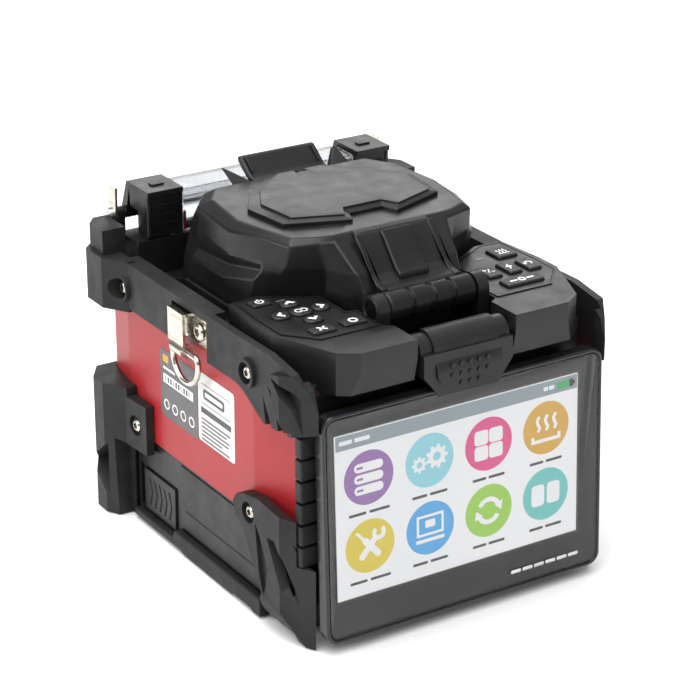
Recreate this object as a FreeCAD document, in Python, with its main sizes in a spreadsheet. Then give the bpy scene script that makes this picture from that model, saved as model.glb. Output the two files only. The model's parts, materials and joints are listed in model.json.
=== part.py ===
"""Fiber fusion splicer: a hand-held instrument with a red metal shell, rubber corner guards, a flip-up
display at the front, a hinged wind cover over the splicing stage and a sleeve heater at the rear.

Frame: X to the right, Y to the rear, Z up, origin at the middle of the footprint on the surface that
the instrument stands on. Lengths are millimetres."""

import FreeCAD, Part
import math
import os
import re

from FreeCAD import Placement, Rotation, Vector

doc = FreeCAD.newDocument("fusion_splicer")
sheet = doc.addObject("Spreadsheet::Sheet", "Sizes")

SIZES = {
    # case and shell
    "case_half": 65,
    "case_front": 64,
    "case_rear": 78,
    "floor_low": 3,
    "case_wall": 2.2,
    "case_top": 38,
    "shell_top": 98,
    "shell_wall": 1.6,
    "deck_low": 98.2,
    "deck_top": 101.8,
    # shoulders and keypads
    "shoulder_top": 116,
    "shoulder_low": 99.5,
    "key_bed": 113.4,
    "key_plate_low": 115.1,
    "key_plate_top": 116.3,
    "key_low": 114.5,
    "key_top": 117.4,
    # display
    "screen_wide": 108,
    "screen_tall": 64.8,
    "screen_mid": 53.2,
    "screen_left": 56.7,
    "bezel_half": 62.2,
    "bezel_low": 4.4,
    "bezel_top": 94.2,
    "bezel_front": 77.4,
    "bezel_back": 71.6,
    "back_rear": 66.2,
    "tilt_axis_back": 70.5,
    "tilt_axis_high": 108.5,
    "tongue_radius": 6,
    "tongue_half": 19.5,
    "lean_angle": 2.6,
    # wind cover
    "cover_axis_back": 51,
    "cover_axis_high": 118.5,
    "barrel_radius": 5.7,
    "barrel_half": 19.2,
    "post_inner": 19.6,
    "post_outer": 24.4,
    "cover_low": 102.6,
    "cover_mid": 120,
    "cover_top": 139,
    "cover_wall": 2.4,
    "pin_radius": 1.6,
    "pin_bore": 1.65,
    # side guards
    "guard_inner": 65.8,
    "guard_outer": 69,
    "boss_outer": 70.6,
    "rail_low": 92.5,
    "rail_top": 111.5,
    "screw_radius": 2.2,
    "screw_bore": 2.3,
    # battery
    "battery_front": 45,
    "battery_rear": 21.2,
    "battery_low": 9.8,
    "battery_top": 36.8,
    "battery_inner": 18,
    "battery_gap": 0.4,
    # heater
    "heater_half": 61,
    "heater_front": 60.5,
    "heater_rear": 83,
    "heater_top": 116.5,
    "cap_top": 136.3,
    "clamp_inner": 40.6,
    "clamp_outer": 56.4,
    "lid_half": 39.8,
    "heater_axis_back": 80.5,
    "heater_axis_high": 122.5,
    "knuckle_radius": 2.6,
    "rod_radius": 1.2,
    "rod_bore": 1.25,
    # strap ring
    "ring_wire": 1.15,
    "ring_out": 70.6,
    "ring_high": 92.4,
    # splicing stage
    "fibre_high": 113,
    "fibre_back": 5,
}

for row, (alias, number) in enumerate(SIZES.items(), start=1):
    sheet.set(f"A{row}", str(number))
    sheet.setAlias(f"A{row}", alias)
doc.recompute()

ALIASES = re.compile(r"\b(" + "|".join(SIZES) + r")\b")
LEFT, RIGHT = -1, 1
OUTSIDE = 80
OUTSIDE_LEFT = -OUTSIDE
SIDE_NAMES = {LEFT: "left", RIGHT: "right"}
parts = []
cuts = []


def size(alias):
    """The number in one cell of the sheet."""
    return float(sheet.get(alias))


def formula(text):
    """A sheet expression from plain words: each alias gets the sheet's name in front."""
    return ALIASES.sub(r"Sizes.\1", str(text))


def mirrored(points):
    """A closed outline, symmetric about X = 0, from its right half."""
    return list(points) + [(-point[0],) + tuple(point[1:]) for point in reversed(points)]


def circle(across, along, radius):
    return ("circle", across, along, radius)


def box_outline(low_across, high_across, low_along, high_along, corner=0):
    """A rectangle, with corners of the given radius when it isn't zero."""
    corners = [
        (low_across, low_along),
        (high_across, low_along),
        (high_across, high_along),
        (low_across, high_along),
    ]
    if not corner:
        return corners
    return [(across, along, corner) for across, along in corners]


def corner_arc(before, point, after):
    """Start, middle and end of the arc that rounds one corner of an outline."""
    corner = Vector(point[0], point[1], 0)
    back = (Vector(before[0], before[1], 0) - corner).normalize()
    onward = (Vector(after[0], after[1], 0) - corner).normalize()
    half_angle = back.getAngle(onward) / 2
    radius = point[2]
    centre_way = (back + onward).normalize()
    centre = corner + centre_way * (radius / math.sin(half_angle))
    reach = radius / math.tan(half_angle)
    return corner + back * reach, centre - centre_way * radius, corner + onward * reach


def draw(sketch, outline):
    """Adds a circle or a closed outline to a sketch; a point with a third number is rounded by it."""
    if outline[0] == "circle":
        _, across, along, radius = outline
        sketch.addGeometry(Part.Circle(Vector(across, along, 0), Vector(0, 0, 1), radius))
        return
    curves = []
    starts = []
    ends = []
    for number, point in enumerate(outline):
        before = outline[number - 1]
        after = outline[(number + 1) % len(outline)]
        if len(point) > 2:
            start, middle, end = corner_arc(before, point, after)
            curves.append(Part.Arc(start, middle, end))
        else:
            start = end = Vector(point[0], point[1], 0)
            curves.append(None)
        starts.append(start)
        ends.append(end)
    for number, arc in enumerate(curves):
        if arc is not None:
            sketch.addGeometry(arc)
        sketch.addGeometry(Part.LineSegment(ends[number], starts[(number + 1) % len(outline)]))


class Piece:
    """One sub-part: a body built from padded, cut and lofted outlines on its own origin planes.

    Plane "XY" takes (x, y) outlines between two heights, "YZ" takes (y, z) outlines between two X
    places, and "XZ" takes (x, z) outlines between two Y places."""

    def __init__(self, label):
        self.body = doc.addObject("PartDesign::Body", label)
        self.body.Label = label
        parts.append(self.body)

    def plane(self, name):
        return [item for item in self.body.Origin.OriginFeatures if item.Role == name + "_Plane"][0]

    def sketch(self, plane, offset, outlines):
        drawing = self.body.newObject("Sketcher::SketchObject", self.body.Name + "_sketch")
        drawing.AttachmentSupport = (self.plane(plane), [""])
        drawing.MapMode = "FlatFace"
        drawing.setExpression("AttachmentOffset.Base.z", formula(offset))
        for outline in outlines:
            draw(drawing, outline)
        return drawing

    def pad(self, plane, low, high, *outlines):
        """Adds material between two places along the plane's normal."""
        offset = f"-({high})" if plane == "XZ" else low
        feature_sketch = self.sketch(plane, offset, outlines)
        feature = self.body.newObject("PartDesign::Pad", self.body.Name + "_pad")
        feature.Profile = feature_sketch
        feature.setExpression("Length", formula(f"({high}) - ({low})"))
        return self

    def cut(self, plane, low, high, *outlines):
        """Removes material between two places along the plane's normal."""
        offset = f"-({low})" if plane == "XZ" else high
        feature_sketch = self.sketch(plane, offset, outlines)
        feature = self.body.newObject("PartDesign::Pocket", self.body.Name + "_pocket")
        feature.Profile = feature_sketch
        feature.setExpression("Length", formula(f"({high}) - ({low})"))
        cuts.append(feature)
        return self

    def loft(self, kind, sections):
        """A straight-sided loft through (height, outline) sections; kind is Additive or Subtractive."""
        drawings = [self.sketch("XY", height, [outline]) for height, outline in sections]
        feature = self.body.newObject(f"PartDesign::{kind}Loft", self.body.Name + "_loft")
        feature.Profile = drawings[0]
        feature.Sections = drawings[1:]
        feature.Ruled = True
        if kind == "Subtractive":
            cuts.append(feature)
        return self

    def lean(self):
        """Leans a piece of the display about its hinge, lower edge to the front."""
        turn = Rotation(Vector(1, 0, 0), -size("lean_angle"))
        self.body.Placement = Placement(Vector(), turn, tilt_axis())
        return self


def tilt_axis():
    return Vector(0, -size("tilt_axis_back"), size("tilt_axis_high"))


def span(side, inner, outer):
    """The low and high X places of a stretch from inner to outer on one side of the instrument."""
    if side == RIGHT:
        return str(inner), str(outer)
    return f"-({outer})", f"-({inner})"


def on_side(side, points):
    """Plan or front outlines written for the right side, moved to the given side."""
    return [(side * point[0],) + tuple(point[1:]) for point in points]


# ---------------------------------------------------------------- case, shell and top cover


def case_plan(inset):
    """Plan of the case: a rectangle whose sides taper in towards the front and rear corners."""
    half, front, rear = size("case_half"), size("case_front"), size("case_rear")
    right_half = [
        (half - 5 - inset, -front + inset),
        (half - inset, -36),
        (half - inset, 62),
        (half - 2.5 - inset, rear - inset),
    ]
    return mirrored(right_half)


def make_case():
    """Plastic tub with the battery bay, the latch recess and the connector opening."""
    gap = size("battery_gap")
    front = -size("battery_front") - gap
    rear = size("battery_rear") + gap
    inner = size("battery_inner") + 4
    wall = 2
    bay_outer = -63.5
    ribs = [
        box_outline(bay_outer, inner + wall, front - wall, front),
        box_outline(bay_outer, inner + wall, rear, rear + wall),
        box_outline(inner, inner + wall, front - wall, rear + wall),
    ]
    bay_mouth = box_outline(front, rear, size("battery_low") - gap, size("battery_top") + gap)
    latch_recess = box_outline(25.2, 56.2, 5.8, 24.9)
    latch_slot = box_outline(31.5, 48, 12.5, 18.5)
    tongue_slot = box_outline(-61, -56, 13.4, 17.6)
    port_opening = box_outline(-22, 22, 12, 32)
    case = Piece("lower_case")
    case.pad("XY", "floor_low", "case_top", case_plan(0))
    case.cut("XY", "floor_low + 2.5", "case_top + 1", case_plan(size("case_wall")))
    for rib in ribs:
        case.pad("XY", "floor_low + 2", "case_top", rib)
    for runner in (front + 8, rear - 8):
        runner_plan = box_outline(bay_outer, inner, runner - 3, runner + 3)
        case.pad("XY", "floor_low + 2", "battery_low - 0.3", runner_plan)
    case.cut("YZ", OUTSIDE_LEFT, -61, bay_mouth)
    case.cut("YZ", OUTSIDE_LEFT, "1.6 - case_half", latch_recess)
    case.cut("YZ", OUTSIDE_LEFT, -55, latch_slot)
    case.cut("XZ", rear - 1, rear + wall + 1, tongue_slot)
    case.cut("YZ", 61, OUTSIDE, port_opening)


def make_shell():
    shell = Piece("side_shell")
    shell.pad("XY", "case_top + 0.2", "shell_top", case_plan(-0.5))
    shell.cut("XY", "case_top", "shell_top + 1", case_plan(size("shell_wall") - 0.5))


# plan of one shoulder, of the hollow in it, and of the plate let into its top
SHOULDER = [
    (21.6, -77.5),
    (45.6, -77.5),
    (53, -72.5),
    (63.8, -46),
    (63.8, -33),
    (61.8, -12.6),
    (49.5, -11.6),
    (29.2, -23.4),
    (29.2, -41.4),
    (25, -42.4),
    (25, -60),
    (21.6, -62),
]
SHOULDER_HOLLOW = [
    (27.5, -70),
    (45, -70),
    (60.5, -44),
    (58.8, -16),
    (50, -16),
    (32.5, -26),
    (32.5, -45),
    (27.5, -46),
]


def keypad_plan(inset):
    """Plan of the plate let into the right shoulder."""
    return [
        (26.6 + inset, -59.2 + inset),
        (50.8 - inset, -59.2 + inset),
        (60.6 - inset, -48),
        (60.6 - inset, -33),
        (59.6 - inset, -14.2 - inset),
        (50.4, -13.8 - inset),
        (31 + inset, -25 - inset),
        (31 + inset, -43.4 - inset),
        (26.6 + inset, -44.4 - inset),
    ]


def make_top_cover():
    """Deck with the stage opening, two hollow shoulders, the hinge posts and the low side walls."""
    axis_y = -size("cover_axis_back")
    axis_z = size("cover_axis_high")
    post = size("barrel_radius")
    side_wall = [(-8, 101), (46, 101), (46, 104.5), (38, 107), (-8, 107)]
    cover = Piece("top_cover")
    cover.pad("XY", "deck_low", "deck_top", case_plan(-0.5))
    for side in (LEFT, RIGHT):
        post_span = span(side, "post_inner", "post_outer")
        cover.pad("XY", "shoulder_low", "shoulder_top", on_side(side, SHOULDER))
        cover.cut("XY", "deck_low - 1", "key_bed - 2.4", on_side(side, SHOULDER_HOLLOW))
        cover.cut("XY", "key_bed", "shoulder_top + 1", on_side(side, keypad_plan(1.2)))
        cover.cut("XY", "key_plate_low", "shoulder_top + 1", on_side(side, keypad_plan(0)))
        cover.pad("YZ", *post_span, box_outline(axis_y - post, axis_y + post, 99, axis_z))
        cover.pad("YZ", *post_span, circle(axis_y, axis_z, post))
        cover.pad("YZ", *span(side, 51.2, 52.6), side_wall)
        cover.cut("YZ", *span(side, 19, 24), circle(axis_y, axis_z, size("pin_radius")))
        tilt_place = circle(-size("tilt_axis_back"), size("tilt_axis_high"), size("pin_radius"))
        cover.cut("YZ", *span(side, 21, 25), tilt_place)
    cover.cut("XY", "deck_low - 1", "deck_top + 1", box_outline(-38, 38, -22, 40, 4))


def make_frame_plate():
    plate = Piece("frame_plate")
    plate.pad("XY", "case_top + 0.1", "case_top + 1.7", case_plan(size("shell_wall") - 0.2))
    plate.cut("XY", "case_top", "case_top + 3", box_outline(-20, 20, 48, 62, 3))


# ---------------------------------------------------------------- rubber guards and their screws

# (y, z) places of the screws on each side
UPPER_SCREWS = ((57.8, 100.4), (-38.5, 99.7))
REAR_SCREW = (50, 44)
FRONT_SCREW = (-39.4, 43.9)
BRACKET_SCREW = (-1.2, 102)
BOSS_RADIUS = 5.6
RECESS_RADIUS = 4.2
HEAD_RADIUS = 3.6


def cut_screw_hole(guard, side, recess_low, place):
    """A recess for the screw's head and a hole for its shank, through one side of a guard."""
    guard.cut("YZ", *span(side, recess_low, OUTSIDE), circle(*place, RECESS_RADIUS))
    guard.cut("YZ", *span(side, "guard_inner - 0.5", OUTSIDE), circle(*place, size("screw_bore")))


def make_upper_guard(side):
    """Rubber rail along the top of one side, with a raised rear corner and a front bumper."""
    rail_low, rail_top = size("rail_low"), size("rail_top")
    rail = [(-36, rail_low), (60, rail_low), (66, 91), (66, rail_top), (-36, rail_top)]
    bumper = [
        (-30, rail_top),
        (-30, rail_low),
        (-34.5, 91.2),
        (-49, 83.6),
        (-67.3, 85.2),
        (-77.6, 88.4),
        (-77.6, 97),
        (-74.4, 104.6),
        (-68.6, 109.4),
        (-53, 111.8),
    ]
    nose = [(-60, 86), (-77.6, 88.4), (-77.6, 97), (-74.4, 104.6), (-68.6, 109), (-58, 107)]
    nose_inner = [(-71.2, 86.4), (-77.6, 88.4), (-77.6, 97), (-74.4, 104.6), (-71.2, 107)]
    corner_outer = [(65.8, 54), (69, 54), (75.4, 64), (75.4, 77), (70, 82.6)]
    corner_return = [(56, 82.6), (56, 78.8), (63.2, 78.8), (65.8, 62)]
    horn_plan = [(63.4, 66), (73.5, 66), (73.5, 76.8), (69.4, 82), (63.4, 82)]
    guard = Piece(f"upper_guard_{SIDE_NAMES[side]}")
    guard.pad("YZ", *span(side, "guard_inner", "guard_outer"), rail)
    guard.pad("YZ", *span(side, 61.2, "guard_inner + 1"), box_outline(-9, 59.6, 102, rail_top))
    guard.pad("YZ", *span(side, "guard_inner", "guard_outer"), bumper)
    guard.pad("YZ", *span(side, "guard_inner + 1", 71.5), nose)
    guard.pad("YZ", *span(side, 63.2, "guard_inner + 1"), nose_inner)
    guard.pad("XY", 91, 101.6, on_side(side, corner_outer + corner_return))
    guard.pad("XY", 101.4, 112, on_side(side, corner_outer + [(65.7, 82.6), (65.7, 66)]))
    guard.pad("XY", 102, 122, on_side(side, horn_plan))
    for place in UPPER_SCREWS:
        guard.pad("YZ", *span(side, "guard_inner", "boss_outer"), circle(*place, BOSS_RADIUS))
    for place in UPPER_SCREWS:
        cut_screw_hole(guard, side, "guard_outer - 0.8", place)
    bracket_notch = box_outline(-8, 18.6, 88, 108.6)
    guard.cut("YZ", *span(side, "guard_inner - 0.2", OUTSIDE), bracket_notch)


def make_rear_guards():
    """Rubber block round each lower rear corner, with an arm to its screw."""
    plan = [
        (65.8, 42),
        (69.4, 42),
        (70.6, 57),
        (76, 66),
        (76, 74),
        (70, 82.8),
        (53, 82.8),
        (53, 78.8),
        (63.2, 78.8),
        (65.8, 62),
    ]
    below_arm = box_outline(40, 58, 0, 33.4)
    above_arm = box_outline(40, 56, 54.4, 60)
    guards = Piece("rear_guards")
    for side in (LEFT, RIGHT):
        guards.pad("XY", 0.6, 58, on_side(side, plan))
        guards.cut("YZ", *span(side, 65, OUTSIDE), below_arm)
        guards.cut("YZ", *span(side, 65, OUTSIDE), above_arm)
        cut_screw_hole(guards, side, "guard_outer - 0.4", REAR_SCREW)


def make_front_guards():
    """Rubber leg on each side, from the lower front screw down to the foot."""
    leg = [
        (-28.4, 44.6),
        (-31, 48.4),
        (-36, 50.6),
        (-47, 52.6),
        (-68, 51),
        (-74, 43.4),
        (-78.7, 25),
        (-83, 7.6),
        (-79, 0.6),
        (-47, 0.6),
        (-44.6, 6),
        (-48.6, 14.6),
        (-36.6, 35),
        (-30.5, 39),
    ]
    toe = [(-66, 33), (-76.4, 33), (-78.7, 25), (-83, 7.6), (-79, 0.6), (-66, 0.6)]
    foot_skin = leg[:3] + [(-46, 52), (-60, 48), (-60, 6), (-50, 6)] + leg[11:]
    guards = Piece("front_guards")
    for side in (LEFT, RIGHT):
        guards.pad("YZ", *span(side, "guard_inner + 1.2", "boss_outer"), leg)
        guards.pad("YZ", *span(side, "guard_inner", "guard_inner + 1.3"), foot_skin)
        guards.pad("YZ", *span(side, 63, "guard_inner + 1.3"), toe)
        cut_screw_hole(guards, side, "guard_outer - 0.4", FRONT_SCREW)


def make_screws():
    """Eight guard screws and two bracket screws: a shank in each hole and a round head on it."""
    screws = Piece("case_screws")
    for side in (LEFT, RIGHT):
        screws.pad("YZ", *span(side, 66.2, 67.5), circle(*BRACKET_SCREW, size("screw_radius")))
        screws.pad("YZ", *span(side, 67.4, 69), circle(*BRACKET_SCREW, HEAD_RADIUS + 0.1))
        for place in UPPER_SCREWS + (REAR_SCREW, FRONT_SCREW):
            head_low = "guard_outer - 0.8" if place in UPPER_SCREWS else "guard_outer - 0.4"
            screws.pad("YZ", *span(side, "guard_inner", head_low), circle(*place, size("screw_radius")))
            screws.pad("YZ", *span(side, head_low, f"{head_low} + 1.2"), circle(*place, HEAD_RADIUS))


def make_corner_grips():
    """Ribbed rubber strip on each front corner of the shell, beside the display."""
    grips = Piece("corner_grips")
    strip_low, block_tall, block_step, block_count = 33.6, 7.3, 8.7, 6
    strip_top = strip_low + (block_count - 1) * block_step + block_tall
    strip_plan = box_outline(59.2, 64.6, -69, -64.8)
    block_plan = box_outline(58.6, 66.4, -70.6, -66, 0.8)
    for side in (LEFT, RIGHT):
        grips.pad("XY", strip_low, strip_top - 0.2, on_side(side, strip_plan))
        for number in range(block_count):
            low = strip_low + number * block_step
            grips.pad("XY", low, low + block_tall, on_side(side, block_plan))


# ---------------------------------------------------------------- strap bracket and label


def make_strap_brackets():
    """Folded metal bracket on each side: a plate in the guard's notch and a loop down to a knuckle."""
    ring_x, ring_z = size("ring_out"), size("ring_high")
    loop = [
        (66.2, 96.4),
        (67.4, 96.4),
        (67.4, 106.4),
        (70.9, 106.4),
        (70.9, ring_z + 2),
        (72.1, ring_z + 2),
        (72.1, 107.6),
        (66.2, 107.6),
    ]
    brackets = Piece("strap_brackets")
    for side in (LEFT, RIGHT):
        brackets.pad("XZ", 4.6, 16.4, on_side(side, loop))
        brackets.pad("YZ", *span(side, 66.2, 67.4), box_outline(-6.6, 6, 96.4, 107.6, 1.5))
        brackets.pad("XZ", 4.6, 13.4, circle(side * ring_x, ring_z, 2.7))
        brackets.cut("XZ", 4, 14, circle(side * ring_x, ring_z, size("ring_wire") + 0.1))
        brackets.cut("YZ", *span(side, 66, 68), circle(*BRACKET_SCREW, size("screw_bore")))


def make_strap_ring(side):
    """D-ring: a straight bar through the bracket's knuckle and a round bow that hangs below it."""
    ring_x, ring_z = side * size("ring_out"), size("ring_high")
    front, rear, bend = -4.2, 15.2, 2.4
    bow = (rear - front) / 2
    middle = (rear + front) / 2
    shoulder = ring_z - bend - 0.6
    ring = Piece(f"strap_ring_{SIDE_NAMES[side]}")
    path = ring.body.newObject("Sketcher::SketchObject", "ring_path")
    path.AttachmentSupport = (ring.plane("YZ"), [""])
    path.MapMode = "FlatFace"
    path.AttachmentOffset = Placement(Vector(0, 0, ring_x), Rotation())
    corner_middle = bend * (1 - math.sqrt(0.5))
    curves = [
        Part.LineSegment(Vector(middle, ring_z, 0), Vector(rear - bend, ring_z, 0)),
        Part.Arc(
            Vector(rear - bend, ring_z, 0),
            Vector(rear - corner_middle, ring_z - corner_middle, 0),
            Vector(rear, ring_z - bend, 0),
        ),
        Part.LineSegment(Vector(rear, ring_z - bend, 0), Vector(rear, shoulder, 0)),
        Part.Arc(
            Vector(rear, shoulder, 0),
            Vector(middle, shoulder - bow, 0),
            Vector(front, shoulder, 0),
        ),
        Part.LineSegment(Vector(front, shoulder, 0), Vector(front, ring_z - bend, 0)),
        Part.Arc(
            Vector(front, ring_z - bend, 0),
            Vector(front + corner_middle, ring_z - corner_middle, 0),
            Vector(front + bend, ring_z, 0),
        ),
        Part.LineSegment(Vector(front + bend, ring_z, 0), Vector(middle, ring_z, 0)),
    ]
    for curve in curves:
        path.addGeometry(curve)
    section = ring.sketch("XZ", -middle, [circle(ring_x, ring_z, size("ring_wire"))])
    sweep = ring.body.newObject("PartDesign::AdditivePipe", "ring_sweep")
    sweep.Profile = section
    sweep.Spine = (path, [f"Edge{number}" for number in range(1, len(curves) + 1)])


# ---------------------------------------------------------------- battery


def make_battery():
    front, rear = -size("battery_front"), size("battery_rear")
    low, top = size("battery_low"), size("battery_top")
    battery = Piece("battery_pack")
    beside_leg = [(front, 19.6), (-36, 34.9), (-33, top)]
    section = [(front, low)] + beside_leg + [(rear, top), (rear, low)]
    battery.pad("YZ", "-(case_half) - 0.4", "battery_inner", section)
    groove = box_outline(front - 1, rear - 3, low + 8, low + 8.7)
    battery.cut("YZ", OUTSIDE_LEFT, "-(case_half)", groove)
    tongue_pocket = box_outline(-60, -56, rear - 2.6, rear + 1)
    battery.cut("XY", 13.6, 17.4, tongue_pocket)


def make_latch():
    """Sliding latch: a chevron plate outside, a neck through the slot and a tongue into the battery."""
    low, middle, high = 9, 15, 21
    chevrons = []
    for start in (30.4, 34.4, 38.4, 42.4, 46.4):
        front_line = [(start, low), (start + 1, low), (start - 1, middle)]
        rear_line = [(start + 1, high), (start, high), (start - 2, middle)]
        chevrons.append(front_line + rear_line)
    latch = Piece("battery_latch")
    latch.pad("YZ", "-(case_half) - 0.9", "1.3 - case_half", box_outline(26, 51.4, 6.4, 24.3, 1))
    latch.cut("YZ", -70, "-(case_half) - 0.4", *chevrons)
    latch.pad("YZ", "1.2 - case_half", -60, box_outline(32, 43.4, 13, 18))
    latch.pad("YZ", -60, -57, box_outline(size("battery_rear") + 0.3, 43.4, 14, 17))


# ---------------------------------------------------------------- keypads

# form, middle in X and Y, width and depth of each key
LEFT_KEYS = {
    "power": ("square", -53, -19.8, 7.6, 5.4),
    "up": ("round", -44.2, -26.2, 7, 6),
    "right": ("round", -35.8, -34.8, 6.8, 6),
    "left": ("round", -52.8, -34.8, 7, 6),
    "down": ("round", -44.2, -43.4, 7, 6),
    "centre": ("round", -44.2, -34.8, 8.4, 7),
    "cancel": ("square", -46.8, -53.4, 9.6, 5.2),
    "confirm": ("square", -33.2, -52.6, 9.6, 5.2),
}
RIGHT_KEYS = {
    "heat": ("square", 53, -24.6, 9.2, 9.4),
    "reset": ("square", 54.6, -39.8, 6, 10.4),
    "arc": ("square", 46, -39.2, 6, 10.4),
    "axis": ("square", 36.6, -39.2, 6.2, 10.4),
    "set": ("square", 42.6, -52.2, 17, 6.6),
}


KEY_GAP = 0.3
STATUS_LIGHTS = {
    LEFT: box_outline(-46.6, -42.6, -21.4, -20.2, 0.5),
    RIGHT: box_outline(40.6, 44.6, -25.4, -24.2, 0.5),
}


def key_outline(key, gap=0):
    """Plan of one key, or of its hole when it has a gap round it."""
    form, across, along, wide, deep = key
    corner = 0.9 if form == "square" else min(wide, deep) / 2 - 0.4
    return box_outline(
        across - wide / 2 - gap,
        across + wide / 2 + gap,
        along - deep / 2 - gap,
        along + deep / 2 + gap,
        corner + gap,
    )


def make_keypads():
    """Keypad plates with a hole for each key and for the status light, and the keys themselves."""
    plates = Piece("keypad_plates")
    for side, keys in ((LEFT, LEFT_KEYS), (RIGHT, RIGHT_KEYS)):
        plates.pad("XY", "key_plate_low", "key_plate_top", on_side(side, keypad_plan(0.1)))
        holes = [key_outline(key, KEY_GAP) for key in keys.values()]
        plates.cut("XY", "key_plate_low - 1", "key_plate_top + 1", *holes, STATUS_LIGHTS[side])
        for name, key in keys.items():
            button = Piece(f"key_{name}")
            button.pad("XY", "key_low", "key_top", key_outline(key))


def make_status_lights():
    lights = Piece("status_lights")
    for outline in STATUS_LIGHTS.values():
        lights.pad("XY", "key_plate_low", "key_plate_top + 0.1", outline)


# ---------------------------------------------------------------- wind cover

# right halves of the cover's plan at its foot, at its shoulder and at its top
COVER_LOW = [(22.6, -44), (27.4, -24), (44, -11), (49.8, -4), (49.8, 40), (45.5, 53)]
COVER_MID = [(21, -44.2), (27, -24), (43, -12), (49.4, -4), (49, 38), (44.5, 50)]
COVER_TOP = [(24.4, -26.4), (29, -25), (38.6, -19), (45, 6), (44, 36), (34, 45)]


def shrunk(outline, inset):
    """A half outline with every point moved in by the same distance in X and in Y."""
    middle = 5
    return [(across - inset, along + (inset if along < middle else -inset)) for across, along in outline]


def make_wind_cover():
    """Faceted hollow cover with its front barrel, the arms to it and the finger tab at the rear."""
    wall = size("cover_wall")
    axis_y, axis_z = -size("cover_axis_back"), size("cover_axis_high")
    outer = [
        ("cover_low", mirrored(COVER_LOW)),
        ("cover_mid", mirrored(COVER_MID)),
        ("cover_top", mirrored(COVER_TOP)),
    ]
    inner = [
        ("cover_low - 1", mirrored(shrunk(COVER_LOW, wall))),
        ("cover_mid - 2", mirrored(shrunk(COVER_MID, wall))),
        ("cover_top - cover_wall", mirrored(shrunk(COVER_TOP, wall + 1.5))),
    ]
    arm = [
        (axis_y - 2, axis_z + 5),
        (-26.2, 138.4),
        (-24, 134),
        (-43.4, 112),
        (-46, 112.6),
        (axis_y, axis_z - 3),
    ]
    tab = [(44, 139), (56, 146), (58.6, 145.4), (57, 143), (46, 135.6), (42, 135.6)]
    ear = [(43, 139), (53, 144), (52, 139.6), (47, 135), (42, 136)]
    cover = Piece("wind_cover")
    cover.loft("Additive", outer)
    cover.loft("Subtractive", inner)
    cover.pad("YZ", -17, 17, arm)
    cover.pad("YZ", "-(barrel_half)", "barrel_half", circle(axis_y, axis_z, size("barrel_radius")))
    cover.cut("YZ", "-(barrel_half) - 2", "barrel_half + 2", circle(axis_y, axis_z, size("pin_bore")))
    cover.pad("YZ", -17.5, 17.5, tab)
    for side in (LEFT, RIGHT):
        cover.pad("YZ", *span(side, 22, 24.5), ear)


def make_cover_badge():
    """Raised faceted plate on top of the wind cover, plain and notched."""
    plan = [
        (8.2, -13.6),
        (9.6, -16.4),
        (33, -9.4),
        (35.4, 12),
        (27, 28),
        (10.4, 41.5),
        (6.6, 36),
    ]
    badge = Piece("cover_badge")
    badge.pad("XY", "cover_top", "cover_top + 1.6", mirrored(plan))


def make_fibre_pressers():
    """Two sprung posts under the wind cover that hold the fibres down in the groove."""
    fibre_y = size("fibre_back")
    pressers = Piece("fibre_pressers")
    for side in (LEFT, RIGHT):
        place = box_outline(5, 8.6, fibre_y - 2, fibre_y + 2)
        pressers.pad("XY", "fibre_high + 0.6", "cover_top - cover_wall", on_side(side, place))


# ---------------------------------------------------------------- display


# height and number of the grip dots in each row on the tongue
DOT_ROWS = ((103.4, 5), (99.3, 5), (95.2, 3))
DOT_STEP = 3.9
DOT_RADIUS = 0.8


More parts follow.
